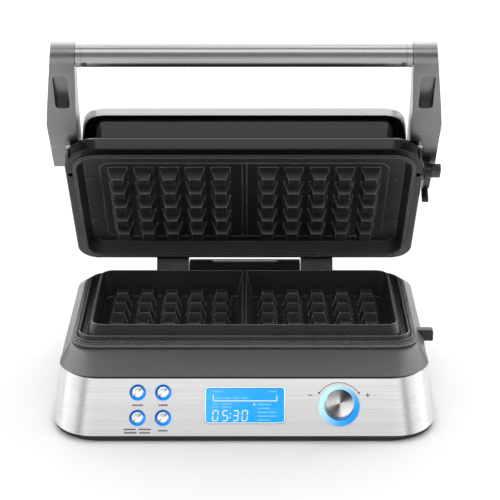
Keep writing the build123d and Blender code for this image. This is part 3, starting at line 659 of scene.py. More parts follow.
FINISHES = {
    "wrap_steel": wrap_steel,
    "hood_steel": hood_steel,
    "tube_steel": tube_steel,
    "cast_aluminium": cast_aluminium,
    # The next two finishes are painted highlights for rounded edges.
    "cast_edge": cast_edge,
    "nonstick": nonstick,
    "nonstick_edge_highlight": nonstick_edge_highlight,
    "black_gloss": black_gloss,
    "shelf_plastic": shelf_plastic,
    "black_satin": black_satin,
    "hinge_paint": hinge_paint,
    "rubber": rubber,
    "zinc_steel": zinc_steel,
    "dark_steel": dark_steel,
    "chrome": chrome,
    "clear_glass": clear_glass,
    "ink": ink,
    "circuit_green": circuit_green,
    "moulded_component": moulded_component,
    "sheathed_steel": sheathed_steel,
    "galvanised": galvanised,
    "brass": brass,
    "ceramic": ceramic,
}


def finish(name):
    if name not in MATERIALS:
        MATERIALS[name] = FINISHES[name]()
    return MATERIALS[name]


def paint(piece, *names):
    """Gives a piece its materials, the first one all over."""
    piece.data.materials.clear()
    for name in names:
        piece.data.materials.append(finish(name) if isinstance(name, str) else name)
    return piece


# ------------------------------------------------------------------ shells and plates


def rounded_shell(node, name, body, slot, finish_name, width, segments=2, degrees=32, edge_highlight_finish=None):
    """A CAD shell with its sharp edges broken, as a moulding, casting or pressing has them; a second finish, where
    given, is a painted highlight on the rounded edges.
    """
    piece = cleaned_copy(node, name)
    if edge_highlight_finish:
        paint(piece, finish_name, edge_highlight_finish)
    else:
        paint(piece, finish_name)
    round_edges(piece, width * MM, segments, degrees, 1 if edge_highlight_finish else -1)
    hand_over(piece, body, slot, node)
    return piece


class WAFFLE_OT_casing(bpy.types.Operator):
    """Casing, tray and steel wrap of the base"""

    bl_idname = "waffle.casing"
    bl_label = "Casing"

    def execute(self, context):
        sizes = context.scene.waffle_sizes
        edge = sizes.moulded_edge / MM
        rounded_shell("base_housing", "shelf_casing", "base", "grey_plastic", "shelf_plastic", edge)
        rounded_shell("base_tray", "bottom_tray", "base", "black_plastic", "black_satin", edge)
        sheet = sizes.sheet_edge / MM
        rounded_shell("stainless_wrap", "steel_wrap", "base", "stainless", "wrap_steel", sheet)
        return {"FINISHED"}


class WAFFLE_OT_plates(bpy.types.Operator):
    """The two toothed waffle plates"""

    bl_idname = "waffle.plates"
    bl_label = "Waffle plates"

    def execute(self, context):
        edge = context.scene.waffle_sizes.plate_edge / MM
        for node, name, body in (
            ("lower_plate", "toothed_plate_lower", "base"),
            ("upper_plate", "toothed_plate_upper", "lid"),
        ):
            # The second finish is a painted highlight on the rounded edges of the teeth and rims.
            rounded_shell(
                node, name, body, "nonstick_cast_aluminium", "nonstick", edge, 2, 24, "nonstick_edge_highlight"
            )
        return {"FINISHED"}


class WAFFLE_OT_lid(bpy.types.Operator):
    """Gloss frame and steel hood of the lid"""

    bl_idname = "waffle.lid"
    bl_label = "Lid"

    def execute(self, context):
        sizes = context.scene.waffle_sizes
        rounded_shell(
            "lid_frame", "lid_flange", "lid", "black_gloss_plastic", "black_gloss", sizes.moulded_edge / MM
        )
        rounded_shell("lid_hood", "steel_hood", "lid", "stainless", "hood_steel", sizes.sheet_edge / MM)
        return {"FINISHED"}


# ------------------------------------------------------------------ handle


class WAFFLE_OT_handle(bpy.types.Operator):
    """Cast arms and the brushed tube between them"""

    bl_idname = "waffle.handle"
    bl_label = "Handle"

    def execute(self, context):
        sizes = context.scene.waffle_sizes
        for side in ("left", "right"):
            # The second finish is a painted highlight on the arms' rounded edges.
            rounded_shell(
                f"handle_arm_{side}", f"cast_arm_{side}", "lid", "cast_metal", "cast_aluminium",
                sizes.cast_edge / MM, 3, 32, "cast_edge",
            )
        self.tube(sizes)
        return {"FINISHED"}

    def tube(self, sizes):
        """A drawn tube with turned-in ends and a fine groove next to each."""
        low, high = box_in("handle_tube", LID)
        radius = (high.z - low.z) / 2 / MM
        half = (high.x - low.x) / 2 / MM
        lip = sizes.tube_lip / MM
        groove = sizes.tube_groove / MM
        ends = [(radius - 1.5, half - 6), (radius - 1.5, half), (radius - lip, half), (radius, half - lip)]
        grooved = [(radius, half - 5), (radius - groove, half - 5.2), (radius - groove, half - 5.8), (radius, half - 6)]
        right = ends + grooved
        left = [(r, -x) for r, x in reversed(right)]
        tube = turned("grip_tube", list(reversed(right + left)), 96)
        centre = (low + high) / 2
        place = LID @ Matrix.Translation(centre) @ Matrix.Rotation(math.pi / 2, 4, "Y")
        put(tube, place)
        paint(tube, "tube_steel")
        hand_over(tube, "lid", "brushed_tube", "handle_tube")


# ------------------------------------------------------------------ fasteners


def pan_head(radius, height):
    """A pan-head screw's head on z = 0, with a cross recess, in millimetres."""
    rise = height * 0.45
    profile = [(radius, 0), (radius, rise), (radius * 0.93, height * 0.78), (radius * 0.7, height), (0.3, height * 1.02)]
    head = turned("head", profile, 40)
    arms = []
    for turn in (0, math.pi / 2):
        arm = slab("recess", radius * 1.05, radius * 0.28, height)
        arm.location.z = height * 0.55 * MM
        arm.rotation_euler.z = turn
        settle(arm)
        arms.append(arm)
    for arm in arms:
        cut_away(head, arm)
    smooth(head)
    return head


def shank(radius, length):
    """The threaded part, as a stack of ridges below z = 0, in millimetres."""
    pitch = radius * 0.8
    profile = [(radius * 0.6, -length), (radius * 0.85, -length + pitch)]
    count = max(1, int((length - 2 * pitch) / pitch))
    for turn in range(count):
        z = -length + pitch * (turn + 1)
        profile += [(radius, z + 0.25 * pitch), (radius, z + 0.4 * pitch), (radius * 0.82, z + 0.7 * pitch)]
    profile.append((radius * 0.82, 0))
    return turned("shank", profile, 24)


SCREWS = (
    ("handle_tube_screws", "tube_screws", "lid", LID, "Z", 1, "dark_steel"),
    ("handle_arm_screws", "arm_screws", "lid", LID, "Z", 1, "zinc_steel"),
    ("hinge_lug_screws", "lug_screws", "lid", LID, "Y", 1, "zinc_steel"),
    ("upper_plate_screws", "upper_plate_fixings", "lid", LID, "Z", -1, "zinc_steel"),
    ("tray_screws", "tray_fixings", "base", BASE, "Z", 1, "dark_steel"),
    ("lower_plate_screws", "lower_plate_fixings", "base", BASE, "Z", 1, "zinc_steel"),
    ("power_board_screws", "power_board_fixings", "base", BASE, "Z", -1, "zinc_steel"),
    ("control_board_screws", "control_board_fixings", "base", PANEL, "Z", 1, "zinc_steel"),
    ("hinge_bracket_screws", "bracket_fixings", "base", BASE, "Z", 1, "dark_steel"),
)


class WAFFLE_OT_screws(bpy.types.Operator):
    """Every screw of the machine, one model for each size"""

    bl_idname = "waffle.screws"
    bl_label = "Screws"

    def execute(self, context):
        for node, name, body, place, along, sense, finish_name in SCREWS:
            self.group(node, name, body, place, along, sense, finish_name)
        return {"FINISHED"}

    def group(self, node, name, body, place, along, sense, finish_name):
        """One group of like screws; sense is +1 where they are driven along the axis."""
        axis = "XYZ".index(along)
        solids = solids_of(node, place)
        low, high = solids[0]
        wide = (axis + 1) % 3
        radius = (high[wide] - low[wide]) / 2 / MM
        length = (high[axis] - low[axis]) / MM
        rise = min(radius * 0.55, length * 0.5)
        master = joined("screw", [pan_head(radius, rise), shank(radius * 0.48, length - rise)])
        if along == "Z":
            turn = Matrix.Rotation(math.pi if sense > 0 else 0, 4, "X")
        else:
            turn = Matrix.Rotation(math.pi / 2, 4, "X")
        made = []
        for low, high in solids:
            spot = (low + high) / 2
            spot[axis] = low[axis] + rise * MM if sense > 0 else high[axis] - rise * MM
            made.append(copy_to(master, place @ Matrix.Translation(spot) @ turn))
        bpy.data.objects.remove(master)
        piece = joined(name, made)
        paint(piece, finish_name)
        hand_over(piece, body, "steel", node)


# ------------------------------------------------------------------ hinge and latch


class WAFFLE_OT_hinge(bpy.types.Operator):
    """Bracket, lugs, pins and washers of the lid hinge"""

    bl_idname = "waffle.hinge"
    bl_label = "Hinge"

    def execute(self, context):
        edge = context.scene.waffle_sizes.cast_edge / MM
        rounded_shell("hinge_bracket", "rear_bracket", "base", "hinge_casting", "hinge_paint", edge * 0.8)
        for side in ("left", "right"):
            rounded_shell(
                f"hinge_lug_{side}", f"lid_lug_{side}", "lid", "hinge_casting", "hinge_paint", edge * 0.8
            )
        self.pins()
        self.washers()
        return {"FINISHED"}

    def pins(self):
        made = []
        for low, high in solids_of("hinge_pins", BASE):
            radius = (high.z - low.z) / 2 / MM
            half = (high.x - low.x) / 2 / MM
            profile = [(radius - 0.6, -half), (radius, -half + 0.6), (radius, half - 0.6), (radius - 0.6, half)]
            profile += [(radius - 2, half), (radius - 2.4, half - 0.5)]
            pin = turned("pin", profile, 48)
            outward = 1 if (low.x + high.x) > 0 else -1
            turn = Matrix.Rotation(outward * math.pi / 2, 4, "Y")
            made.append(put(pin, Matrix.Translation((low + high) / 2) @ turn))
        piece = joined("pivot_pins", made)
        paint(piece, "zinc_steel")
        hand_over(piece, "base", "steel", "hinge_pins")

    def washers(self):
        piece = cleaned_copy("friction_washers", "spring_washers")
        paint(piece, "zinc_steel")
        round_edges(piece, 0.2 * MM)
        hand_over(piece, "base", "steel", "friction_washers")


class WAFFLE_OT_latch(bpy.types.Operator):
    """Latch lever, its mount and the catch on the base"""

    bl_idname = "waffle.latch"
    bl_label = "Latch"

    def execute(self, context):
        edge = context.scene.waffle_sizes.moulded_edge / MM
        for node, name, body in (
            ("latch_lever", "lever", "latch"),
            ("latch_mount", "lever_mount", "lid"),
            ("latch_catch", "catch", "base"),
        ):
            rounded_shell(node, name, body, "black_plastic", "black_satin", edge * 1.4, 3)
        return {"FINISHED"}


# ------------------------------------------------------------------ controls


BUTTONS = ("power", "menu", "mode", "restart")


class WAFFLE_OT_buttons(bpy.types.Operator):
    """The four push buttons and the lit rings round them"""

    bl_idname = "waffle.buttons"
    bl_label = "Push buttons"

    def execute(self, context):
        colours = context.scene.waffle_colours
        rings = solids_of("button_light_rings", PANEL)
        for name in BUTTONS:
            low, high = box_in(f"{name}_button", PANEL)
            self.cap(name, low, high)
        toward = PANEL.to_3x3() @ Vector((0.6, -0.8, 0))
        made = []
        for low, high in rings:
            ring = self.ring(low, high)
            centre = PANEL @ ((low + high) / 2)
            reach = (high.x - low.x) * 0.5
            paint(ring, glowing("Blue lit ring", centre, toward, reach, colours.ring_deep, colours.ring_bright, 1.0))
            made.append(ring)
        piece = joined("button_glow_rings", made)
        hand_over(piece, "base", "light_blue_ring", "button_light_rings")
        return {"FINISHED"}

    def cap(self, name, low, high):
        """A dished metal cap with a rounded rim, on its guide stem."""
        centre = (low + high) / 2
        top = (high.z - low.z) / MM
        flange = (high.x - low.x) / 2 / MM
        radius = flange - 1.0
        profile = [
            (2.0, 0), (2.0, 2.3), (flange, 2.3), (flange, 3.3), (radius, 3.3), (radius, top - 0.5),
            (radius - 0.15, top - 0.15), (radius - 0.5, top), (radius - 1.0, top - 0.05), (0.4, top - 0.15),
        ]
        piece = turned(f"{name}_cap", profile, 64)
        put(piece, PANEL @ Matrix.Translation((centre.x, centre.y, low.z)))
        # The cap's diagonal grey streak is a painted reflection in its colour.
        paint(piece, painted_sheen_metal(f"Button face with painted sheen {name}", PANEL @ centre, -math.pi / 2, 0.75, 0.42, 0.92))
        hand_over(piece, f"button_{name}", "knob_metal", f"{name}_button")

    def ring(self, low, high):
        outer = (high.x - low.x) / 2 / MM
        inner = outer - 1.9
        depth = (high.z - low.z) / MM
        profile = [
            (inner, 0), (outer, 0), (outer, depth - 0.5), (outer - 0.3, depth - 0.1), (outer - 0.8, depth),
            (inner + 0.5, depth - 0.2), (inner, depth - 0.8),
        ]
        ring = tube_of("ring", profile)
        centre = (low + high) / 2
        return put(ring, PANEL @ Matrix.Translation((centre.x, centre.y, low.z)))


def tube_of(name, profile, sides=64):
    """A ring turned on +Z from a closed outline of (radius, height) pairs in millimetres."""
    bpy.ops.object.select_all(action="DESELECT")
    bpy.ops.mesh.primitive_circle_add(vertices=sides, radius=profile[0][0] * MM, fill_type="NOTHING")
    piece = bpy.context.object
    piece.name = name
    piece.location.z = profile[0][1] * MM
    settle(piece)
    with editing(piece, "EDGE"):
        bpy.ops.mesh.select_all(action="SELECT")
        for (r0, z0), (r1, z1) in zip(profile, profile[1:] + profile[:1]):
            bpy.ops.mesh.extrude_region_move(TRANSFORM_OT_translate={"value": (0, 0, (z1 - z0) * MM)})
            bpy.ops.transform.resize(value=(r1 / r0, r1 / r0, 1), center_override=(0, 0, z1 * MM))
        bpy.ops.mesh.select_all(action="SELECT")
        bpy.ops.mesh.remove_doubles(threshold=0.004 * MM)
        bpy.ops.mesh.normals_make_consistent(inside=False)
    smooth(piece)
    return piece


class WAFFLE_OT_dial(bpy.types.Operator):
    """The spun dial knob, its shaft and the lit ring behind it"""

    bl_idname = "waffle.dial"
    bl_label = "Dial"

    def execute(self, context):
        colours = context.scene.waffle_colours
        self.knob()
        self.ring(colours)
        self.shaft()
        return {"FINISHED"}

    def knob(self):
        low, high = box_in("dial_knob", PANEL)
        radius = (high.x - low.x) / 2 / MM
        base, top = low.z / MM, high.z / MM
        profile = [
            (radius - 2.5, base + 3), (radius - 2.5, base), (radius - 0.4, base), (radius, base + 0.4),
            (radius, base + 1.6), (radius - 0.35, base + 1.9), (radius - 0.35, base + 2.5), (radius, base + 2.8),
            (radius - 0.1, top - 0.6), (radius - 0.25, top - 0.25), (radius - 0.6, top), (radius - 1.0, top - 0.08),
            (3.0, top - 0.3), (0.4, top - 0.2),
        ]
        piece = turned("dial_cap", profile, 96)
        put(piece, PANEL)
        # The light and dark sectors on the dial face are a painted reflection in its colour.
        paint(piece, painted_sheen_metal("Dial face with painted sheen", PANEL.to_translation(), -math.radians(105), -0.35, 0.08, 0.64))
        hand_over(piece, "dial", "knob_metal", "dial_knob")

    def ring(self, colours):
        low, high = box_in("dial_light_ring", PANEL)
        outer = (high.x - low.x) / 2 / MM
        inner = outer - 5.6
        base, top = low.z / MM, high.z / MM
        profile = [
            (inner, base), (outer, base), (outer, top - 0.5), (outer - 0.35, top - 0.1), (outer - 0.9, top),
            (outer - 1.6, top - 0.25), (outer - 3.2, top - 1.1), (inner + 0.9, top - 1.5), (inner + 0.3, top - 1.3),
            (inner, top - 1.6),
        ]
        ring = tube_of("dial_glow_ring", profile, 96)
        put(ring, PANEL)
        away = PANEL.to_3x3() @ Vector((-0.82, 0.57, 0))
        glow = glowing(
            "Pale lit ring", PANEL.to_translation(), away, outer * MM * 0.95,
            colours.dial_deep, colours.dial_pale, 1.0,
        )
        paint(ring, glow)
        hand_over(ring, "base", "dial_ring_light", "dial_light_ring")

    def shaft(self):
        low, high = box_in("dial_shaft", PANEL)
        radius = (high.x - low.x) / 2 / MM
        base, top = low.z / MM, high.z / MM
        profile = [(radius - 0.4, base), (radius, base + 0.4), (radius, top - 0.5), (radius - 0.5, top)]
        piece = turned("dial_spindle", profile, 48)
        put(piece, PANEL)
        paint(piece, "zinc_steel")
        hand_over(piece, "dial", "steel", "dial_shaft")


# Segments of a seven-segment digit, lettered as usual, lit for each digit shown
LIT = {"0": "abcdef", "1": "bc", "2": "abged", "3": "abgcd", "5": "afgcd"}
CLOCK = "0530"


def bar(length, width, thickness, blunt=0.42):
    """A flat bar with pointed ends, lying along X."""
    return slab("bar", length, width, thickness, width * blunt, 1)


def words(lengths, height, thickness, gap=1.7):
    """A line of plain blocks where a word would stand, its left end at the origin."""
    made = []
    start = 0.0
    tick = height * 0.78
    for length in lengths:
        count = max(1, round(length / (tick * 1.28)))
        for index in range(count):
            block = slab("block", tick, height, thickness, tick * 0.22, 2)
            block.location.x = (start + (index + 0.5) * length / count) * MM
            settle(block)
            made.append(block)
        start += length + gap
    return joined("word", made)


class WAFFLE_OT_display(bpy.types.Operator):
    """Display frame, window, backlight and what the display shows"""

    bl_idname = "waffle.display"
    bl_label = "Display"

    def execute(self, context):
        colours = context.scene.waffle_colours
        rounded_shell("display_bezel", "display_trim", "base", "display_frame", "chrome", 0.5, 3)
        rounded_shell("display_window", "display_pane", "base", "display_glass", "clear_glass", 0.25)
        self.backlight(colours)
        self.readout(colours)
        return {"FINISHED"}

    def backlight(self, colours):
        piece = cleaned_copy("display_module", "display_backlight")
        low, high = box_in("display_module", PANEL)
        corner = Vector((low.x, high.y, high.z))
        across = PANEL.to_3x3() @ Vector((0.86, -0.5, 0))
        paint(piece, glowing(
            "Blue backlight", PANEL @ corner, across, (high.x - low.x) * 0.75,
            colours.screen_light, colours.screen_deep, 1.0,
        ))
        round_edges(piece, 0.15 * MM)
        hand_over(piece, "base", "display_backlight", "display_module")

    def readout(self, colours):
        """The lit marks, laid out from the visible area's top left corner."""
        low, high = box_in("display_window", PANEL)
        surface = box_in("display_module", PANEL)[1].z
        corner = Vector((low.x, high.y, surface + 0.01 * MM))
        thin = 0.12
        bright, faint = [], []

        def lay(group, piece, x, y, turn=0.0):
            spot = corner + Vector((x * MM, -y * MM, 0))
            group.append(put(piece, PANEL @ Matrix.Translation(spot) @ Matrix.Rotation(turn, 4, "Z")))

        left, right, foot = 6.8, 66.9, 11.8
        lay(bright, bar(right - left, 0.8, thin), (left + right) / 2, foot)
        lay(bright, bar(6.2, 0.8, thin), left, foot - 2.9, math.pi / 2)
        lay(bright, bar(5.4, 0.8, thin), right, foot - 2.5, math.pi / 2)
        lay(bright, turned("dot", [(0.85, 0), (0.85, thin)], 24), 45.6, 15.2)
        self.clock(bright, lay, thin)
        lay(faint, words([10.0], 1.2, thin), 6.0, 2.9)
        lay(faint, words([8.0], 1.2, thin), 59.0, 2.9)
        lay(faint, words([6.8, 6.6, 6.4, 6.8], 1.3, thin), 8.6, 9.1)
        lay(faint, words([6.4, 10.6], 1.1, thin), 6.0, 14.8)
        lay(faint, words([6.4, 9.6], 1.1, thin), 6.0, 17.6)
        for row, length in enumerate((13.0, 12.0, 18.0, 18.4, 12.4)):
            lay(faint, words([length], 1.2, thin), 48.6, 15.2 + 3.75 * row)
        near = Vector((1, 0, 0))
        pale = glowing("Pale yellow segments", PANEL @ corner, near, 0.1, colours.segment, colours.segment, 1.0)
        dim = glowing("Faint white segments", PANEL @ corner, near, 0.1, colours.segment_dim, colours.segment_dim, 1.0)
        digits = joined("display_digits", bright)
        paint(digits, pale)
        hand_over(digits, "base", "display_backlight")
        small = joined("display_small_marks", faint)
        paint(small, dim)
        hand_over(small, "base", "display_backlight")

    def clock(self, group, lay, thin):
        """Four leaning seven-segment digits with a colon."""
        height, width, stroke, lean = 9.6, 4.7, 0.95, 0.09
        middle = 25.9
        spots = {"a": (0, 1, 0), "g": (0, 0, 0), "d": (0, -1, 0), "f": (-1, 0.5, 1), "b": (1, 0.5, 1),
                 "e": (-1, -0.5, 1), "c": (1, -0.5, 1)}
        for digit, centre in zip(CLOCK, (8.8, 18.0, 28.0, 36.5)):
            for segment in LIT[digit]:
                across, up, upright = spots[segment]
                length = height / 2 - 0.55 if upright else width - 0.35
                x = centre + across * width / 2 + up * height / 2 * lean
                y = middle - up * height / 2
                lay(group, bar(length, stroke, thin), x, y, math.pi / 2 - lean if upright else 0.0)
        for up in (-1, 1):
            dot = turned("dot", [(0.62, 0), (0.62, thin)], 20)
            lay(group, dot, 22.8 + up * 2.0 * lean, middle - 1.9 * up)


class WAFFLE_OT_print(bpy.types.Operator):
    """Plain printed marks by the buttons and the dial's scale"""

    bl_idname = "waffle.print"
    bl_label = "Panel print"

    def execute(self, context):
        made = []
        thin = 0.06
        for name, lines in (
            ("power", [[10.4]]), ("menu", [[8.6]]), ("mode", [[11.6, 11.6], [11.6, 10.2]]), ("restart", [[9.4]]),
        ):
            spot = centre_in(f"{name}_button", PANEL)
            first = 12.1 if len(lines) == 1 else 10.9
            for row, lengths in enumerate(lines):
                line = words(lengths, 1.5, thin, 2.6)
                total = sum(lengths) + 2.6 * (len(lengths) - 1)
                y = spot.y / MM - first - 3.2 * row
                made.append(put(line, self.at(spot.x / MM - total / 2, y)))
        made += self.scale(context.scene.waffle_sizes.scale_radius / MM, thin)
        piece = joined("panel_print", made)
        paint(piece, "ink")
        hand_over(piece, "base", "stainless")
        return {"FINISHED"}

    def at(self, x, y, turn=0.0):
        spot = Matrix.Translation((x * MM, y * MM, 0.01 * MM))
        return PANEL @ spot @ Matrix.Rotation(turn, 4, "Z")

    def scale(self, radius, thin):
        """An arc over the dial with a wedge at each end, a minus and a plus."""
        reach = math.radians(joint("dial_turn")["range_deg"][1])
        steps = 44
        made = []
        chord = 2 * radius * math.sin(reach / steps)
        for step in range(steps):
            angle = -reach + 2 * reach * (step + 0.5) / steps
            piece = slab("arc", chord * 1.03, 0.55, thin)
            x, y = radius * math.sin(angle), radius * math.cos(angle)
            made.append(put(piece, self.at(x, y, -angle)))
        for side in (-1, 1):
            wedge = turned("wedge", [(1.5, 0), (1.5, thin)], 3)
            x, y = side * radius * math.sin(reach), radius * math.cos(reach)
            made.append(put(wedge, self.at(x + side * 0.6, y - 0.3, -side * reach - math.pi / 2)))
            sign_x, sign_y = side * (radius + 5.0), y - 2.4
            made.append(put(bar(4.0, 0.8, thin, 0.2), self.at(sign_x, sign_y)))
            if side > 0:
                made.append(put(bar(4.0, 0.8, thin, 0.2), self.at(sign_x, sign_y, math.pi / 2)))
        return made


# ------------------------------------------------------------------ feet and cable gland


class WAFFLE_OT_feet(bpy.types.Operator):
    """Four ribbed rubber feet"""

    bl_idname = "waffle.feet"
    bl_label = "Feet"

    def execute(self, context):
        made = []
        for low, high in solids_of("rubber_feet", BASE):
            radius = (high.x - low.x) / 2 / MM
            height = (high.z - low.z) / MM
            profile = [(1.5, 0.6), (2.5, 0)]
            for ring in (4.0, 6.0):
                profile += [(ring - 0.3, 0), (ring, 0.6), (ring + 0.6, 0.6), (ring + 0.9, 0)]
            profile += [(radius - 0.5, 0), (radius, 0.5), (radius, height - 0.3), (radius - 0.3, height)]
            foot = turned("foot", profile, 48)
            centre = (low + high) / 2
            made.append(put(foot, Matrix.Translation((centre.x, centre.y, low.z))))
        piece = joined("ribbed_feet", made)
        paint(piece, "rubber")
        hand_over(piece, "base", "rubber", "rubber_feet")
        return {"FINISHED"}


class WAFFLE_OT_gland(bpy.types.Operator):
    """The ribbed gland where the mains lead would enter"""

    bl_idname = "waffle.gland"
    bl_label = "Cable gland"

    def execute(self, context):
        low, high = box_in("cable_gland", BASE)
        radius = (high.z - low.z) / 2 / MM
        depth = (high.y - low.y) / MM
        neck, hole = radius - 3.2, 3.6
        profile = [
            (hole, 0), (neck, 0), (neck, depth - 2.6), (radius, depth - 2.6), (radius, depth - 0.5),
            (radius - 0.6, depth), (hole + 4.2, depth), (hole + 3.6, depth - 0.5), (hole + 3.0, depth),
            (hole + 0.8, depth), (hole, depth - 0.8),
        ]
        gland = tube_of("lead_gland", profile, 64)
        centre = (low + high) / 2
        place = Matrix.Translation((centre.x, low.y, centre.z)) @ Matrix.Rotation(-math.pi / 2, 4, "X")
        put(gland, place)
        paint(gland, "rubber")
        hand_over(gland, "base", "rubber", "cable_gland")
        return {"FINISHED"}


# ------------------------------------------------------------------ parts that stay as they are


INNER_FINISHES = {
    "lower_heating_element": "sheathed_steel",
    "upper_heating_element": "sheathed_steel",
    "lower_heat_shield": "galvanised",
    "upper_heat_shield": "galvanised",
    "lower_temperature_sensor": "brass",
    "upper_temperature_sensor": "brass",
    "thermal_fuse": "ceramic",
    "power_board": "circuit_green",
    "control_board": "circuit_green",
    "relays": "moulded_component",
    "transformer": "moulded_component",
    "filter_capacitors": "moulded_component",
    "terminal_block": "moulded_component",
    "tact_switches": "moulded_component",
    "dial_encoder": "moulded_component",
}


class WAFFLE_OT_inner_parts(bpy.types.Operator):
    """Finishes of the electrical parts inside"""

    bl_idname = "waffle.inner_parts"
    bl_label = "Inner parts"

    def execute(self, context):
        for node, finish_name in INNER_FINISHES.items():
            paint(frame["nodes"][node], finish_name)
        return {"FINISHED"}


# ------------------------------------------------------------------ studio


class WAFFLE_OT_studio(bpy.types.Operator):
    """Pale floor, soft lights and the camera"""

    bl_idname = "waffle.studio"
    bl_label = "Studio"

    def execute(self, context):
        studio = context.scene.waffle_studio
        self.floor(studio)
        self.sky(context, studio)
        self.lights(studio)
        self.camera(context, studio)
        context.scene.view_settings.view_transform = "Standard"
        return {"FINISHED"}

    def floor(self, studio):
        bpy.ops.object.select_all(action="DESELECT")
        bpy.ops.mesh.primitive_plane_add(size=14, location=(0, 0, 0))
        floor = bpy.context.object
        floor.name = "studio_floor"
        material, tree, shader, position = new_material("Pale floor", Specular_IOR_Level=0.2)
        surface = group_node(
            tree, "grain", Position=position, Grains=300.0, Dark=rgb(studio.floor_colour),
            Light=rgb([min(1.0, c * 1.01) for c in studio.floor_colour]), Smoothest=0.6, Roughest=0.7,
        )
        wire(tree, shader, surface, 0.01)
        floor.data.materials.append(material)

    def sky(self, context, studio):
        world = bpy.data.worlds.new("Studio")
        context.scene.world = world
        world.use_nodes = True
        tree = world.node_tree
        back = tree.nodes["Background"]
        direction = add(tree, "TexCoord").outputs["Generated"]
        parts = add(tree, "SeparateXYZ", Vector=direction)
        behind = spread(tree, parts.outputs["Y"], 0.0, 1.0, -0.35, 0.75)
        colour = blend_colours(tree, behind, grey(studio.sky_front), grey(studio.sky_back))
        tree.links.new(colour, back.inputs["Color"])

    def lights(self, studio):
        """Softboxes, each given by its place, aim, size and brightness in watts per steradian per square metre."""
        for name, place, aim, size, glow in (
            ("top_softbox", (0.0, 0.35, 1.7), (0, 0.3, 0), (2.6, 1.3), studio.top_glow),
            ("front_softbox", (0.0, -1.25, 1.75), (0, 0, 0.1), (2.9, 0.9), studio.front_glow),
            ("left_softbox", (-1.8, -0.2, 0.75), (0, 0, 0.2), (1.5, 1.3), studio.side_glow),
            ("right_softbox", (1.8, -0.2, 0.75), (0, 0, 0.2), (1.5, 1.3), studio.side_glow),
            ("left_kicker", (-1.8, 0.6, 0.62), (0, 0, 0.15), (0.6, 0.6), studio.kicker_glow * 0.5),
            ("right_kicker", (1.8, 0.6, 0.62), (0, 0, 0.15), (0.6, 0.6), studio.kicker_glow),
            ("rear_softbox", (0.0, 2.6, 2.0), (0, 1.6, 0), (4.5, 2.0), studio.rear_glow),
        ):
            bpy.ops.object.light_add(type="AREA", location=place)
            light = bpy.context.object
            light.name = name
            light.data.shape = "RECTANGLE"
            light.data.size, light.data.size_y = size
            light.data.energy = glow * math.pi * size[0] * size[1]
            light.rotation_euler = (Vector(aim) - Vector(place)).to_track_quat("-Z", "Y").to_euler()

    def camera(self, context, studio):
        bpy.ops.object.camera_add(location=studio.camera_place, rotation=(studio.camera_tilt, 0, 0))
        camera = bpy.context.object
        camera.name = "studio_camera"
        camera.data.lens = studio.camera_lens
        camera.data.sensor_width = 36
        context.scene.camera = camera


# ------------------------------------------------------------------ settings and sidebar


def length(label, note, default):
    return bpy.props.FloatProperty(name=label, description=note, default=default, unit="LENGTH", precision=4)


def level(label, note, default):
    return bpy.props.FloatProperty(name=label, description=note, default=default, min=0)


def colour(label, note, default):
    return bpy.props.FloatVectorProperty(
        name=label, description=note, default=default, subtype="COLOR", size=3, min=0, max=1
    )


class WaffleSizes(bpy.types.PropertyGroup):
    moulded_edge: length("Moulded edge", "Radius on the edges of plastic mouldings", 0.6 * MM)
    sheet_edge: length("Sheet edge", "Radius on the edges of pressed sheet", 0.3 * MM)
    plate_edge: length("Plate edge", "Radius on the edges of the waffle plates", 0.7 * MM)
    cast_edge: length("Cast edge", "Radius on the edges of castings", 1.3 * MM)
    tube_lip: length("Tube lip", "Rounding at the ends of the grip tube", 0.4 * MM)
    tube_groove: length("Tube groove", "Depth of the fine groove near each end of the tube", 0.25 * MM)
    scale_radius: length("Scale radius", "Radius of the printed arc over the dial", 22.2 * MM)


class WaffleColours(bpy.types.PropertyGroup):
    ring_deep: colour("Button ring", "Deep blue of the rings round the buttons", (0.0, 0.09, 0.42))
    ring_bright: colour("Button ring, bright side", "Where the ring's lamp sits", (0.0, 0.32, 1.0))
    dial_deep: colour("Dial ring", "Saturated side of the ring behind the dial", (0.0, 0.33, 1.0))
    dial_pale: colour("Dial ring, pale side", "Washed-out side of the ring behind the dial", (0.60, 0.95, 1.0))
    screen_light: colour("Screen, light corner", "Backlight at the top left", (0.10, 0.62, 0.98))
    screen_deep: colour("Screen", "Backlight over the rest of the display", (0.0, 0.40, 1.0))
    segment: colour("Segments", "Bright display segments", (0.92, 0.95, 0.55))
    segment_dim: colour("Small marks", "Fainter display marks", (0.28, 0.62, 1.0))


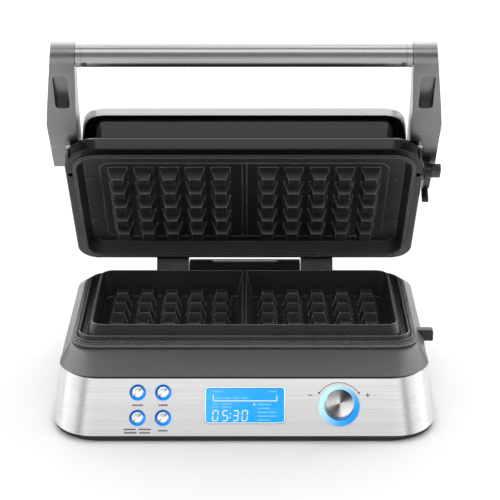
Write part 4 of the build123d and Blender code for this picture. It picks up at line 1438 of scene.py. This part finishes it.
class WaffleStudio(bpy.types.PropertyGroup):
    floor_colour: colour("Floor", "Colour of the floor", (0.9, 0.9, 0.9))
    sky_front: level("Sky in front", "Ambient light from the camera's side", 0.34)
    sky_back: level("Sky behind", "Ambient light from behind the appliance", 0.8)
    top_glow: level("Top light", "Brightness of the softbox overhead", 1.0)
    front_glow: level("Front light", "Brightness of the softbox over the camera", 1.35)
    side_glow: level("Side lights", "Brightness of the softboxes left and right", 0.85)
    kicker_glow: level("Edge lights", "Brightness of the small lights behind the sides", 4.5)
    rear_glow: level("Rear light", "Brightness of the softbox that lights the floor behind", 2.4)
    camera_place: bpy.props.FloatVectorProperty(
        name="Camera", description="Where the camera stands", default=(0.0057, -1.5569, 0.734), subtype="XYZ"
    )
    camera_tilt: bpy.props.FloatProperty(
        name="Camera tilt", description="Angle up from straight down", default=math.radians(68.84), subtype="ANGLE"
    )
    camera_lens: bpy.props.FloatProperty(name="Lens", description="Focal length in mm", default=119.9)


OPERATORS = (
    WAFFLE_OT_studio,
    WAFFLE_OT_casing,
    WAFFLE_OT_plates,
    WAFFLE_OT_lid,
    WAFFLE_OT_handle,
    WAFFLE_OT_screws,
    WAFFLE_OT_hinge,
    WAFFLE_OT_latch,
    WAFFLE_OT_buttons,
    WAFFLE_OT_dial,
    WAFFLE_OT_display,
    WAFFLE_OT_print,
    WAFFLE_OT_feet,
    WAFFLE_OT_gland,
    WAFFLE_OT_inner_parts,
)


class WAFFLE_PT_sidebar(bpy.types.Panel):
    """Lists the pieces of the waffle maker in building order"""

    bl_idname = "WAFFLE_PT_sidebar"
    bl_label = "Waffle Maker"
    bl_space_type = "VIEW_3D"
    bl_region_type = "UI"
    bl_category = "Waffle Maker"

    def draw(self, context):
        column = self.layout.column()
        for settings in (context.scene.waffle_sizes, context.scene.waffle_colours, context.scene.waffle_studio):
            for key in settings.__annotations__:
                column.prop(settings, key)
        for operator in OPERATORS:
            column.operator(operator.bl_idname)


CLASSES = (WaffleSizes, WaffleColours, WaffleStudio, *OPERATORS, WAFFLE_PT_sidebar)


def register():
    for item in CLASSES:
        bpy.utils.register_class(item)
    bpy.types.Scene.waffle_sizes = bpy.props.PointerProperty(type=WaffleSizes)
    bpy.types.Scene.waffle_colours = bpy.props.PointerProperty(type=WaffleColours)
    bpy.types.Scene.waffle_studio = bpy.props.PointerProperty(type=WaffleStudio)


def unregister():
    del bpy.types.Scene.waffle_studio
    del bpy.types.Scene.waffle_colours
    del bpy.types.Scene.waffle_sizes
    for item in reversed(CLASSES):
        bpy.utils.unregister_class(item)


def main():
    register()
    for operator in OPERATORS:
        getattr(bpy.ops.waffle, operator.bl_idname.split(".")[1])()


if __name__ == "__main__":
    main()
